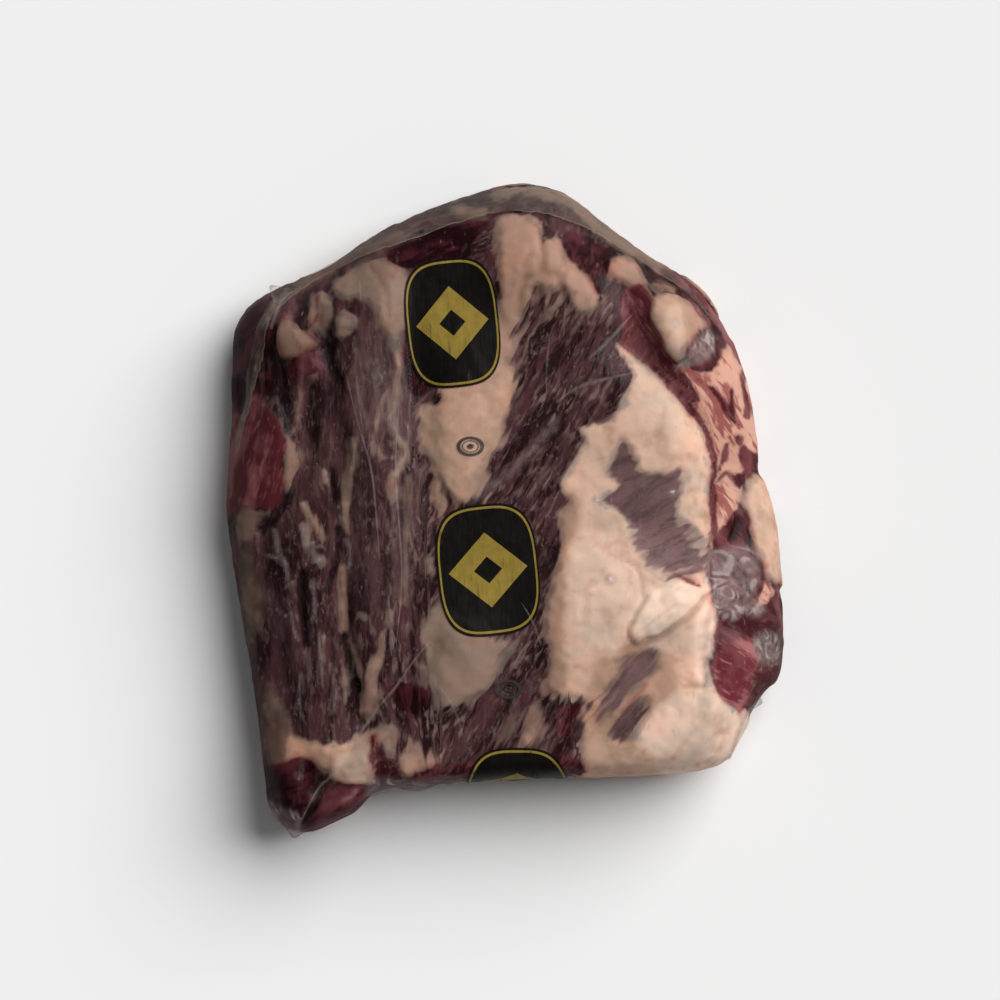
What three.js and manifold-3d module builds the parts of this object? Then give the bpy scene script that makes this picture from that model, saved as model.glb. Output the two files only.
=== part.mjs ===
// A clear vacuum bag shrunk tight round a boned slab of rib blade beef, lying on its flat underside.
// The pack is one solid: the meat with the film that hugs it, the folded seal fin and the film ears.
// Millimetres, +Z up, +Y towards the sealed end of the bag, origin at the middle of the base.
import * as THREE from "three";
import { mergeVertices } from "three/addons/utils/BufferGeometryUtils.js";
import Module from "manifold-3d";

// Driving sizes of the pack
const THICKNESS = 62; // the meat's plain height in the middle of the pack
const EDGE_SLACK = 7; // how much lower the plain height is at the rim than in the middle
const DOME_SHARE = 0.7; // how far in from the rim it goes on rising, as a share of the half width
const LOW_SIDE_DROP = 9; // the slab thins towards its left side by this much
const LOW_SIDE_START = -60; // x where that thinning starts
const LOW_SIDE_END = -125; // x where it is complete

// The pack's outline seen from above, anticlockwise from the crown of the sealed end
const OUTLINE = [
  [15, 163], [-3, 162.5], [-17.5, 158], [-36, 152], [-54, 144], [-73, 133], [-91, 120], [-116, 111],
  [-129, 102.5], [-135.5, 90], [-137.5, 72], [-137.5, 48], [-139, 26], [-140, 6], [-138, -16], [-132, -52],
  [-125.5, -92], [-122, -122], [-118, -150], [-111, -159], [-101, -162.5], [-86, -157.5], [-73.5, -151],
  [-66, -142.5], [-50, -139], [10, -135], [88, -131.5], [108, -127.5], [115.5, -119], [127, -96], [137, -86],
  [139.8, -72], [138.5, -42], [134, -2], [128, 17], [125, 44], [119, 72], [105, 101], [90, 117], [72, 127],
  [50, 143], [31, 158],
];

// How the side wall is rounded. Each size is given for the four sides and blended between them.
const SHOULDER_WIDTH = { right: 44, top: 36, left: 30, bottom: 11 }; // inward run of the rounding at the top
const SHOULDER_POWER = { right: 1.6, top: 1.85, left: 2.1, bottom: 2.4 }; // 2 is an ellipse, less is a slope
const BELLY_HEIGHT = { right: 20, top: 18, left: 21, bottom: 25 }; // height of the widest line
const FOOT_INSET = { right: 16, top: 20, left: 17, bottom: 13 }; // inward run of the wall below it
const FOOT_POWER = 2;
const SIDE_BLEND = 4; // 2 blends the sides evenly, and more gives the corners to the top and the bottom
const RIM_WAVES = 7; // slow waves round the side wall, where slack meat bulges between its folds
const RIM_WAVE_SHARE = 0.14; // how far the waves change the widths and heights above

// Swellings of meat and fat: centre x and y, half length, half width, turn in degrees, height
const LOBES = {
  top_left_fat: [-105, 88, 18, 12, -60, 5],
  top_left_fat_tip: [-82, 98, 18, 10, 70, 4],
  top_left_shoulder: [-124, 88, 22, 14, 75, 5],
  top_seam_fat: [-58, 110, 34, 13, 84, 5],
  crown_fat: [10, 126, 26, 20, 10, 6],
  crown_fat_right: [38, 106, 24, 16, -35, 4.5],
  right_fat_finger: [62, 118, 17, 11, -60, 6],
  right_fat_knob: [85, 91, 24, 16, -62, 9],
  centre_fat: [-22, 38, 42, 16, 80, 3],
  lower_centre_fat: [-28, -80, 32, 20, 60, 4.5],
  right_upper_fat: [76, 40, 40, 28, -50, 6],
  right_lower_fat: [46, -66, 54, 24, 80, 5.5],
  folded_fat: [84, -50, 28, 16, 35, 7],
  right_corner_fat: [86, -102, 36, 22, 20, 5],
  left_muscle: [-66, -20, 95, 17, 94, 3],
  middle_muscle: [28, 60, 70, 18, 62, 2.5],
  edge_muscle: [-101, -52, 66, 15, 96, 3.5],
  left_flap: [-121, 26, 38, 18, 75, 7],
  left_corner_meat: [-108, -138, 20, 15, -60, 6],
  left_corner_knob: [-80, -147, 16, 10, 25, 6],
  bottom_left_fat: [-78, -121, 26, 12, 15, 4.5],
  right_side_fat: [132, -14, 36, 9, 97, 7],
  right_side_meat: [117, -88, 24, 15, 65, 7],
  right_side_upper: [112, 58, 34, 10, -62, 5],
};

const LOBE_FLATNESS = 1.5; // 1 is a bell, and more makes a flat top with a clear edge

// Furrows between the muscles and fat: depth, half width, and the points that the furrow passes
const FURROWS = {
  right_seam: [5.5, 6, [[54, 86], [72, 66], [92, 48], [103, 30], [107, 8], [105, -20], [104, -42]]],
  fold_edge: [4, 5.5, [[62, -72], [74, -65], [90, -56], [103, -42]]],
  left_groove: [3.5, 4.5, [[-91, 84], [-86, 60], [-80, 20], [-77, -18], [-81, -57], [-75, -92], [-70, -108]]],
  edge_groove: [3, 6, [[-119, -10], [-117, -50], [-110, -90]]],
  flap_edge: [5, 6, [[-98, 58], [-99, 30], [-104, 12], [-116, -6], [-131, -20]]],
  top_left_groove: [4, 6, [[-94, 108], [-97, 95], [-86, 78]]],
  centre_groove: [4, 6, [[-50, 118], [-46, 80], [-40, 50], [-38, 22], [-32, 2]]],
  knob_groove: [4, 6, [[56, 106], [64, 94], [70, 78], [88, 68]]],
  corner_fold: [4.5, 6, [[-35, -68], [-52, -92], [-69, -108], [-88, -134], [-98, -148]]],
  corner_notch: [5, 6, [[-98, -128], [-92, -137], [-70, -137]]],
  side_notch: [4, 6, [[112, 26], [118, 2], [112, -30], [122, -52], [134, -60]]],
};

// The seal fin: the flat doubled end of the bag, folded over on the pack's shoulder
const FIN_INNER = [
  [-131, 40], [-124, 70], [-118, 92], [-103, 109], [-84, 120], [-52, 134], [-20, 145], [12, 148], [30, 144],
  [48, 136], [70, 122], [90, 108], [103, 92],
];
const FIN_OUTER = [
  [-133, 40], [-130, 68], [-125, 92], [-112, 109], [-86, 123], [-52, 144], [-17, 156.5], [8, 158.5], [30, 153],
  [52, 138], [72, 125], [93, 111], [106, 94],
];
const FIN_THICKNESS = 1.3;
const FIN_ROOT = 2.5; // how deep the fin's solid reaches into the pack, to fuse with it

// Ears of flat film at the bag's corners: foot x and y, tip x and y, width at the foot, height of the film
const EARS = {
  left_ear: [[-103, -150], [-106, -164], 20, 14],
  right_ear: [[122, -94], [130.5, -96.5], 13, 20],
  lower_right_ear: [[105, -120], [115, -123.5], 14, 20],
};
const EAR_THICKNESS = 1.4;
const EAR_TIP_SHARE = 0.3; // width of the tip as a share of the foot's
const EAR_STEPS = 4;

// Fineness of the solid
const AROUND = 156;
const TOP_RINGS = 29;
const WALL_RINGS = 5;
const BASE_RINGS = [0.76, 0.5]; // shares of the outline
const EDGE_CROWDING = 0.55; // 0 spaces the top rings evenly, more crowds them at the rim
const FIN_STEPS = 66;
const FIN_STRIPS = 3;
const SLIVER = 0.02; // joins leave slivers, and those thinner than this are dropped

const MEAT_UNDER_FILM = new THREE.MeshStandardMaterial({ color: 0x7a4c4e, roughness: 0.35, metalness: 0 });

// A smooth curve through points of a plan, as evenly spaced points
function smoothRun(points, steps, closed) {
  const through = points.map(([x, y]) => new THREE.Vector3(x, y, 0));
  const curve = new THREE.CatmullRomCurve3(through, closed, "centripetal");
  const spaced = curve.getSpacedPoints(steps).map((p) => new THREE.Vector2(p.x, p.y));
  return closed ? spaced.slice(0, steps) : spaced;
}

const outline = smoothRun(OUTLINE, AROUND, true);
const bounds = new THREE.Box2().setFromPoints(outline);
const halfWidth = (bounds.max.x - bounds.min.x) / 2;
const halfLength = (bounds.max.y - bounds.min.y) / 2;

const smoothstep = THREE.MathUtils.smoothstep;

// The direction of a point from the pack's middle, with the outline taken as a circle
function direction(x, y) {
  return Math.atan2(y / halfLength, x / halfWidth);
}

// Blends a size given for the four sides by the direction
function bySide(size, x, y) {
  const across = Math.cos(direction(x, y)) ** SIDE_BLEND;
  return across * (x > 0 ? size.right : size.left) + (1 - across) * (y > 0 ? size.top : size.bottom);
}

// The same, swelling and shrinking in the slow waves of the side wall
function waved(size, x, y) {
  return bySide(size, x, y) * (1 + RIM_WAVE_SHARE * Math.sin(RIM_WAVES * direction(x, y)));
}

function distanceToSegment(x, y, a, b) {
  const dx = b[0] - a[0];
  const dy = b[1] - a[1];
  const share = THREE.MathUtils.clamp(((x - a[0]) * dx + (y - a[1]) * dy) / (dx * dx + dy * dy), 0, 1);
  return Math.hypot(x - a[0] - share * dx, y - a[1] - share * dy);
}

function distanceToRun(x, y, points) {
  let nearest = Infinity;
  for (let i = 1; i < points.length; i++) {
    nearest = Math.min(nearest, distanceToSegment(x, y, points[i - 1], points[i]));
  }
  return nearest;
}

const rim = [...outline, outline[0]].map((p) => [p.x, p.y]);

function lobeRise(x, y, [cx, cy, halfLong, halfShort, turn, height]) {
  const angle = THREE.MathUtils.degToRad(turn);
  const along = (x - cx) * Math.cos(angle) + (y - cy) * Math.sin(angle);
  const across = (y - cy) * Math.cos(angle) - (x - cx) * Math.sin(angle);
  const reach = (along / halfLong) ** 2 + (across / halfShort) ** 2;
  return height * Math.exp(-(reach ** LOBE_FLATNESS));
}

function furrowDip(x, y, [depth, halfSpan, points]) {
  return depth * Math.exp(-((distanceToRun(x, y, points) / halfSpan) ** 2));
}

// The height that the pack would have over a point with no rounding at its rim
function plainHeight(x, y, edge) {
  const domed = THICKNESS - EDGE_SLACK * (1 - smoothstep(edge, 0, halfWidth * DOME_SHARE));
  const thinned = domed - LOW_SIDE_DROP * smoothstep(-x, -LOW_SIDE_START, -LOW_SIDE_END);
  const lobes = Object.values(LOBES).reduce((sum, lobe) => sum + lobeRise(x, y, lobe), 0);
  const furrows = Object.values(FURROWS).reduce((sum, furrow) => sum + furrowDip(x, y, furrow), 0);
  return thinned + lobes - furrows;
}

// 0 at the rim, rising to 1 at the inner end of the rounding, along a superellipse
function rounding(edge, width, power) {
  const share = Math.min(edge / width, 1);
  return (1 - (1 - share) ** power) ** (1 / power);
}

function topHeight(x, y) {
  const edge = distanceToRun(x, y, rim);
  const belly = waved(BELLY_HEIGHT, x, y);
  const rise = rounding(edge, waved(SHOULDER_WIDTH, x, y), bySide(SHOULDER_POWER, x, y));
  return belly + (plainHeight(x, y, edge) - belly) * rise;
}

function baseHeight(x, y) {
  const edge = distanceToRun(x, y, rim);
  const rise = rounding(edge, waved(FOOT_INSET, x, y), FOOT_POWER);
  return waved(BELLY_HEIGHT, x, y) * (1 - rise);
}

// One ring of the pack: the outline drawn in to a share of its size, at a height given by a function
function ring(share, height) {
  return outline.map((p) => {
    const x = p.x * share;
    const y = p.y * share;
    return [x, y, height(x, y)];
  });
}

// Splits a four-sided patch along its shorter diagonal, so that no furrow turns into a saw edge
function splitPatch(vertices, a, b, c, d) {
  const apart = (i, j) => Math.hypot(...vertices[i].map((value, axis) => value - vertices[j][axis]));
  return apart(a, c) < apart(b, d) ? [a, b, c, a, c, d] : [a, b, d, b, c, d];
}

// Joins equal rings into one closed surface between a first and a last point
function closedSurface(first, rings, last) {
  const count = rings[0].length;
  const vertices = [first, ...rings.flat(), last];
  const faces = [];
  const at = (r, i) => 1 + r * count + (i % count);
  for (let i = 0; i < count; i++) {
    faces.push(0, at(0, i), at(0, i + 1));
    for (let r = 1; r < rings.length; r++) {
      faces.push(...splitPatch(vertices, at(r - 1, i), at(r, i), at(r, i + 1), at(r - 1, i + 1)));
    }
    faces.push(at(rings.length - 1, i), vertices.length - 1, at(rings.length - 1, i + 1));
  }
  return surface(vertices, faces);
}

function surface(vertices, faces) {
  const geometry = new THREE.BufferGeometry();
  geometry.setAttribute("position", new THREE.Float32BufferAttribute(vertices.flat(), 3));
  geometry.setIndex(faces);
  return geometry;
}

// The slab of meat in its film, from the middle of the top, over the rim, to the middle of the base
function packBody() {
  const rings = [];
  for (let i = 1; i <= TOP_RINGS; i++) {
    const even = i / TOP_RINGS;
    const crowded = 1 - (1 - even) ** 2;
    rings.push(ring(even + (crowded - even) * EDGE_CROWDING, topHeight));
  }
  const footInset = Math.max(...Object.values(FOOT_INSET)) / halfWidth;
  for (let i = 1; i <= WALL_RINGS; i++) {
    const share = 1 - footInset * (i / WALL_RINGS) ** 2;
    rings.push(ring(share, baseHeight));
  }
  for (const share of BASE_RINGS) rings.push(ring(share, baseHeight));
  return closedSurface([0, 0, topHeight(0, 0)], rings, [0, 0, 0]);
}

// A thin closed sheet over a grid of plan points: it stands above the given height and is rooted below it.
// Its rows and then its columns run like +X and then +Y.
function sheetOver(rows, height, above, below) {
  const across = rows[0].length;
  const upper = rows.flat().map(([x, y]) => [x, y, height(x, y) + above]);
  const lower = rows.flat().map(([x, y]) => [x, y, height(x, y) - below]);
  const vertices = [...upper, ...lower];
  const faces = [];
  const patch = (a, b, c, d) => faces.push(...splitPatch(vertices, a, b, c, d));
  const up = (r, c) => r * across + c;
  const down = (r, c) => upper.length + up(r, c);
  const lastRow = rows.length - 1;
  const lastColumn = across - 1;
  for (let r = 0; r < lastRow; r++) {
    for (let c = 0; c < lastColumn; c++) {
      patch(up(r, c), up(r + 1, c), up(r + 1, c + 1), up(r, c + 1));
      patch(down(r, c), down(r, c + 1), down(r + 1, c + 1), down(r + 1, c));
    }
    patch(up(r + 1, 0), up(r, 0), down(r, 0), down(r + 1, 0));
    patch(up(r, lastColumn), up(r + 1, lastColumn), down(r + 1, lastColumn), down(r, lastColumn));
  }
  for (let c = 0; c < lastColumn; c++) {
    patch(up(0, c), up(0, c + 1), down(0, c + 1), down(0, c));
    patch(up(lastRow, c + 1), up(lastRow, c), down(lastRow, c), down(lastRow, c + 1));
  }
  return surface(vertices, faces);
}

function between(a, b, share) {
  return [a[0] + (b[0] - a[0]) * share, a[1] + (b[1] - a[1]) * share];
}

function sealFin() {
  const inner = smoothRun(FIN_INNER, FIN_STEPS, false).map((p) => [p.x, p.y]);
  const outer = smoothRun(FIN_OUTER, FIN_STEPS, false).map((p) => [p.x, p.y]);
  const rows = inner.map((start, i) => {
    const strip = [];
    for (let c = 0; c <= FIN_STRIPS; c++) strip.push(between(start, outer[i], c / FIN_STRIPS));
    return strip;
  });
  return sheetOver(rows, topHeight, FIN_THICKNESS, FIN_ROOT);
}

// A flat, tapered ear of film: its foot lies inside the pack and its tip stands out
function filmEar([foot, tip, width, height]) {
  const run = new THREE.Vector2(tip[0] - foot[0], tip[1] - foot[1]);
  const side = new THREE.Vector2(-run.y, run.x).normalize();
  const rows = [];
  for (let i = 0; i <= EAR_STEPS; i++) {
    const share = i / EAR_STEPS;
    const [x, y] = between(foot, tip, share);
    const half = (width / 2) * (1 - (1 - EAR_TIP_SHARE) * share ** 2);
    rows.push([-1, 0, 1].map((s) => [x + side.x * half * s, y + side.y * half * s]));
  }
  return sheetOver(rows, () => height, EAR_THICKNESS / 2, EAR_THICKNESS / 2);
}

const wasm = await Module();
wasm.setup();

// A closed geometry as a solid for joining
function solidOf(geometry) {
  const merged = mergeVertices(geometry);
  return new wasm.Manifold(
    new wasm.Mesh({
      numProp: 3,
      vertProperties: merged.attributes.position.array,
      triVerts: new Uint32Array(merged.index.array),
    }),
  );
}

function geometryOf(solid) {
  const mesh = solid.getMesh();
  const geometry = new THREE.BufferGeometry();
  geometry.setAttribute("position", new THREE.BufferAttribute(mesh.vertProperties, 3));
  geometry.setIndex(new THREE.BufferAttribute(mesh.triVerts, 1));
  geometry.computeVertexNormals();
  return geometry;
}

function sealedBag() {
  let solid = solidOf(packBody()).add(solidOf(sealFin()));
  for (const ear of Object.values(EARS)) solid = solid.add(solidOf(filmEar(ear)));
  const geometry = geometryOf(solid.simplify(SLIVER));
  geometry.computeBoundingBox();
  const middle = geometry.boundingBox.getCenter(new THREE.Vector3());
  return geometry.translate(-middle.x, -middle.y, 0);
}

const bag = new THREE.Mesh(sealedBag(), MEAT_UNDER_FILM);
bag.name = "sealed_bag";

const pack = new THREE.Group();
pack.add(bag);

export default pack;
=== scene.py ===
import itertools
import math

import bpy
import numpy as np
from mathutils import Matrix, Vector
from mathutils.bvhtree import BVHTree


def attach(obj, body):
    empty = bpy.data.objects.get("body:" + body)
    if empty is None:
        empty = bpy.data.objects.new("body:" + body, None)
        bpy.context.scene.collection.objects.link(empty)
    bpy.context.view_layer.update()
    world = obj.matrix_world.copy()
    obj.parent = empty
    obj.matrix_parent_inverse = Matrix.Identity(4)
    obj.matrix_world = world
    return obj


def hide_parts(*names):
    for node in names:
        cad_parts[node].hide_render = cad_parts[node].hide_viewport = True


# A slab of rib blade beef, shrunk tight in a clear bag and lying on its flat side.
# Plan sizes are in millimetres, x to the right and y away from the near edge.
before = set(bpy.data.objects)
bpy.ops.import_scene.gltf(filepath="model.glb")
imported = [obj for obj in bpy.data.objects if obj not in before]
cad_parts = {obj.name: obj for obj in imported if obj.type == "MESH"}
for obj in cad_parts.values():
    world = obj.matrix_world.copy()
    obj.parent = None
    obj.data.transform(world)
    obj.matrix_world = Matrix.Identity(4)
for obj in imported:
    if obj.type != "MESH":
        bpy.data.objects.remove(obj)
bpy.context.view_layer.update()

BODY = "root"
BAG = "sealed_bag"
MM = 0.001

# The slab under the film: how it is remeshed and smoothed, with the ears evened out of it
VOXEL = 1.5
WELD = 1e-6
REMESH_SMOOTHING = 8
EAR_SMOOTHING = 90
EAR_ROUNDS = 4
EAR_REACH = 0.75
EAR_BAND = 7.0
FILM_ALLOWANCE = 0.5

# Where its pattern turns over the sides, by height and by how far the skin faces up, and how it wanders
WIDEST_HEIGHT = 22.0
WALL_MIRROR = 1.5
WALL_NORMALS = (0.15, -0.15)
SIDE_NORMALS = (0.35, 0.0)
TOP_NORMALS = (0.0, 0.3)
UNDERSIDE_HEIGHTS = (9.0, 2.0)
UNDERSIDE_NORMALS = (-0.3, -0.8)
NEAREST_RADIUS = 40.0
SIDE_WANDER = 3.0
WANDER = (1.1, 12.0, 11)
FINE_WANDER = (0.5, 4.5, 21)

# Cream fat that covers the lean, by patch: its stain and its outline.
# The stain runs from 0, clean cream, to 1, brown with blood. Below 0 it is paler still. On the left walls it
# also carries painted shade, and on the near right slope painted light.
FAT_PATCHES = {
    "left_lobe": (0.66, [(-113, 89), (-110, 97), (-106, 99), (-103, 94), (-97, 88), (-92, 82), (-95, 80),
        (-99, 79), (-102, 75), (-111, 75), (-113, 82)]),
    "left_lobe_2": (0.6, [(-98, 103), (-96, 107), (-91, 109), (-87, 106), (-85, 99), (-88, 89), (-90, 85),
        (-98, 91), (-99, 96)]),
    "left_lobe_3": (0.52, [(-85, 91), (-84, 96), (-80, 99), (-74, 97), (-72, 93), (-76, 89), (-81, 85),
        (-85, 87)]),
    "top_seam": (0.58, [(-85, 109), (-86, 114), (-79, 120), (-69, 125), (-60, 126), (-53, 124), (-48, 119),
        (-46, 104), (-49, 89), (-51, 81), (-55, 78), (-59, 87), (-63, 91), (-66, 101), (-72, 104),
        (-79, 104)]),
    "crown": (0.36, [(-6, 141), (2, 146), (15, 145), (19, 140), (19, 134), (26, 135), (31, 127), (36, 120),
        (43, 114), (48, 102), (43, 96), (34, 96), (25, 100), (20, 96), (14, 102), (9, 92), (6, 80), (4, 70),
        (-12, 66), (-20, 80), (-17, 89), (-3, 104), (-4, 123)]),
    "crown_foot": (0.12, [(-3, 98), (6, 96), (4, 84), (6, 62), (1, 45), (-4, 29), (-10, 22), (-12, 7),
        (-22, 3), (-31, 12), (-38, 24), (-41, 35), (-41, 52), (-32, 54), (-32, 65), (-20, 84)]),
    "right_finger": (0.42, [(49, 120), (53, 126), (63, 126), (68, 119), (71, 110), (72, 103), (67, 106),
        (60, 112), (52, 115)]),
    "right_knob": (0.24, [(72, 103), (75, 107), (81, 109), (89, 106), (97, 98), (101, 91), (96, 85),
        (90, 80), (85, 73), (79, 76), (75, 85), (71, 95)]),
    "knob_cap": (0.75, [(72, 109), (76, 108), (84, 110), (82, 113), (76, 114)]),
    "big_right": (-0.03, [(54, 83), (67, 76), (77, 68), (91, 50), (99, 42), (104, 25), (102, 3), (104, -9),
        (99, -25), (105, -46), (105, -61), (101, -78), (103, -88), (90, -98), (70, -108), (50, -112),
        (39, -94), (27, -93), (20, -86), (22, -69), (18, -59), (22, -39), (26, -17), (27, -2), (31, 5),
        (28, 15), (37, 35), (36, 42), (50, 45), (61, 62), (62, 70)]),
    # low_right: paler than clean cream, a painted light that cancels the shade on the slope at the near edge
    "low_right": (-0.19, [(60, -92), (80, -84), (103, -84), (110, -94), (127, -103), (122, -128),
        (100, -142), (80, -142), (70, -126), (58, -112)]),
    "low_middle": (0.06, [(37, -98), (50, -98), (66, -104), (78, -124), (74, -142), (39, -142), (35, -124),
        (37, -113)]),
    "lower_centre": (0.5, [(-38, -47), (-32, -45), (-24, -50), (-3, -62), (5, -64), (-2, -79), (-7, -88),
        (-16, -92), (-29, -98), (-35, -89), (-41, -88), (-40, -69), (-42, -60)]),
    "island": (0.4, [(13, -96), (18, -104), (19, -112), (12, -119), (7, -115), (8, -105)]),
    "bottom_left": (0.16, [(-110, -124), (-110, -106), (-103, -112), (-92, -114), (-77, -113), (-66, -107),
        (-62, -112), (-64, -122), (-80, -122), (-88, -130), (-95, -126), (-104, -123)]),
    "bottom_cream": (-0.1, [(-87, -120), (-80, -116), (-68, -115), (-64, -121), (-64, -134), (-76, -137),
        (-87, -134)]),
    # bottom_left_wall: its stain is partly the fat's own brown, partly painted shade on the wall that faces
    # away from the light
    "bottom_left_wall": (0.95, [(-119, -126), (-121, -113), (-120, -93), (-116, -85), (-109, -99),
        (-105, -112), (-107, -124), (-113, -130)]),
    "bottom_slip": (0.5, [(-59, -104), (-54, -108), (-54, -117), (-58, -123), (-63, -114), (-65, -108)]),
    "bottom_slip_2": (0.3, [(-52, -119), (-46, -115), (-40, -120), (-32, -123), (-37, -129), (-46, -132),
        (-51, -131)]),
    "drop": (0.42, [(-61, -59), (-59, -66), (-62, -84), (-60, -92), (-67, -105), (-71, -100), (-71, -83),
        (-63, -66)]),
    "flap_fat": (0.6, [(-111, 35), (-105, 35), (-101, 27), (-104, 15), (-108, 9), (-110, 17)]),
    "left_tail": (0.62, [(-129, 6), (-123, 0), (-116, 1), (-124, -8), (-127, -14), (-133, -20), (-135, -14),
        (-134, -3)]),
    # left_wall: its full stain is partly the fat's own brown, partly painted shade on the wall that faces
    # away from the light
    "left_wall": (1.0, [(-133, -17), (-128, -17), (-125, -30), (-121, -42), (-122, -60), (-127, -66),
        (-132, -44)]),
    "right_side": (0.05, [(118, 12), (124, 19), (133, 16), (144, -10), (148, -36), (130, -35), (123, -16),
        (119, -2)]),
}

# Pink fat threaded with red veins
VEINED_PATCHES = {
    "right_slope": [(91, 74), (101, 72), (112, 85), (126, 88), (132, 62), (132, 26), (122, 24), (117, 5),
        (113, -7), (104, -24), (102, -9), (103, 15), (98, 43), (84, 61), (78, 70)],
    "right_curl": [(118, -36), (128, -34), (137, -44), (135, -53), (121, -54), (117, -46)],
}

# Gaps in the fat where the lean shows
LEAN_WINDOWS = {
    "star": [(58, 34), (63, 26), (66, 19), (78, 18), (87, 21), (87, 14), (85, 5), (85, -4), (91, -9),
        (96, -14), (100, -21), (98, -27), (87, -30), (77, -29), (69, -24), (65, -17), (64, -8), (56, 0),
        (49, 5), (56, 12), (52, 20)],
    "crown_gap": [(14, 110), (17, 108), (18, 102), (15, 97), (13, 100), (15, 105)],
    "crown_gap_2": [(22, 106), (25, 106), (26, 101), (23, 99), (21, 101)],
    "crown_gap_3": [(28, 108), (30, 107), (31, 101), (28, 100)],
    "slit": [(58, -77), (63, -72), (73, -70), (73, -76), (67, -84), (47, -102), (50, -93)],
    "slit_2": [(67, -93), (70, -97), (67, -104), (61, -112), (53, -111), (57, -102)],
    "corner_lean": [(25, -99), (30, -95), (38, -95), (33, -107), (36, -114), (36, -122), (33, -127),
        (27, -123), (22, -107)],
}

# Wet red muscle: its shade, from 0, nearly black, to 1, bright, and its outline
RED_PATCHES = {
    "top": (0.0, [(-60, 128), (-47, 134), (-32, 140), (-9, 144), (-17, 131), (-15, 126), (-40, 121),
        (-51, 121)]),
    "top_right": (0.05, [(30, 139), (52, 130), (50, 118), (46, 108), (38, 121), (31, 125)]),
    "left_shoulder": (0.1, [(-117, 108), (-116, 92), (-123, 86), (-131, 79), (-134, 82), (-132, 94),
        (-126, 103)]),
    "left_edge": (0.0, [(-148, 92), (-130, 90), (-122, 82), (-121, 70), (-127, 58), (-131, 50), (-138, 44),
        (-148, 50)]),
    "behind_fin": (0.0, [(-126, 100), (-118, 92), (-116, 84), (-114, 64), (-118, 58), (-126, 62),
        (-128, 84)]),
    "flap": (0.5, [(-146, 45), (-130, 54), (-122, 57), (-110, 37), (-110, 15), (-109, 4), (-117, 0),
        (-128, 3), (-146, -6)]),
    "under_lobes": (0.16, [(-108, 73), (-101, 77), (-95, 79), (-86, 80), (-88, 71), (-96, 68),
        (-107, 66)]),
    "strip_light": (0.9, [(67, 106), (71, 104), (73, 92), (79, 83), (76, 79), (71, 86), (68, 94)]),
    "right_strip": (0.45, [(58, 108), (68, 111), (72, 103), (71, 92), (78, 78), (73, 72), (63, 79),
        (57, 83), (57, 94)]),
    "lower_right": (1.0, [(108, -62), (113, -58), (122, -62), (124, -80), (120, -97), (113, -98),
        (105, -90), (102, -80), (103, -71)]),
    "lower_band": (0.25, [(108, -58), (120, -52), (137, -38), (148, -38), (148, -56), (130, -60),
        (118, -68), (109, -72)]),
    "lower_edge": (0.3, [(126, -72), (133, -78), (146, -76), (146, -88), (134, -100), (122, -99),
        (117, -98), (124, -86)]),
    "under_swirl": (0.3, [(104, -20), (112, -16), (123, -18), (128, -31), (124, -46), (113, -56),
        (104, -52), (101, -36)]),
    "pocket_foot": (0.0, [(99, 76), (103, 83), (107, 79), (105, 71), (99, 69)]),
    "under_pocket": (0.3, [(93, 84), (98, 90), (104, 87), (107, 76), (99, 69), (90, 72)]),
    "corner": (0.0, [(-130, -128), (-112, -125), (-104, -122), (-96, -124), (-93, -132), (-97, -141),
        (-99, -152), (-104, -172), (-124, -166), (-132, -146)]),
    "corner_2": (0.22, [(-92, -138), (-85, -135), (-68, -136), (-60, -143), (-74, -160), (-92, -173),
        (-104, -172), (-99, -150)]),
    "bottom_streak": (0.15, [(-64, -114), (-61, -120), (-56, -124), (-52, -130), (-53, -135),
        (-63, -135)]),
    "bottom": (0.2, [(-46, -131), (-36, -126), (-20, -124), (-2, -122), (34, -122), (34, -132), (-17, -134),
        (-46, -134)]),
    "beside_print": (0.0, [(-50, 84), (-45, 87), (-40, 69), (-40, 57), (-47, 59), (-50, 70)]),
    "dark_pool": (0.0, [(-57, -88), (-52, -85), (-40, -87), (-37, -96), (-43, -101), (-52, -96)]),
    "upper_right_slope": (0.6, [(78, 121), (94, 126), (112, 108), (124, 92), (126, 84), (113, 80),
        (107, 91), (101, 100), (90, 111)]),
    "side_notch": (0.35, [(115, 28), (119, 33), (124, 29), (130, 31), (133, 24), (128, 17), (124, 21),
        (120, 16), (117, 22)]),
    "notch_foot": (0.0, [(112, 17), (118, 20), (120, 15), (116, 11)]),
    "side_wedge": (0.3, [(103, -20), (107, -9), (113, -1), (120, 0), (122, -10), (117, -19), (110, -23)]),
    "slit_red": (0.2, [(26, -99), (33, -95), (37, -95), (34, -108), (27, -112)]),
}

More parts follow.
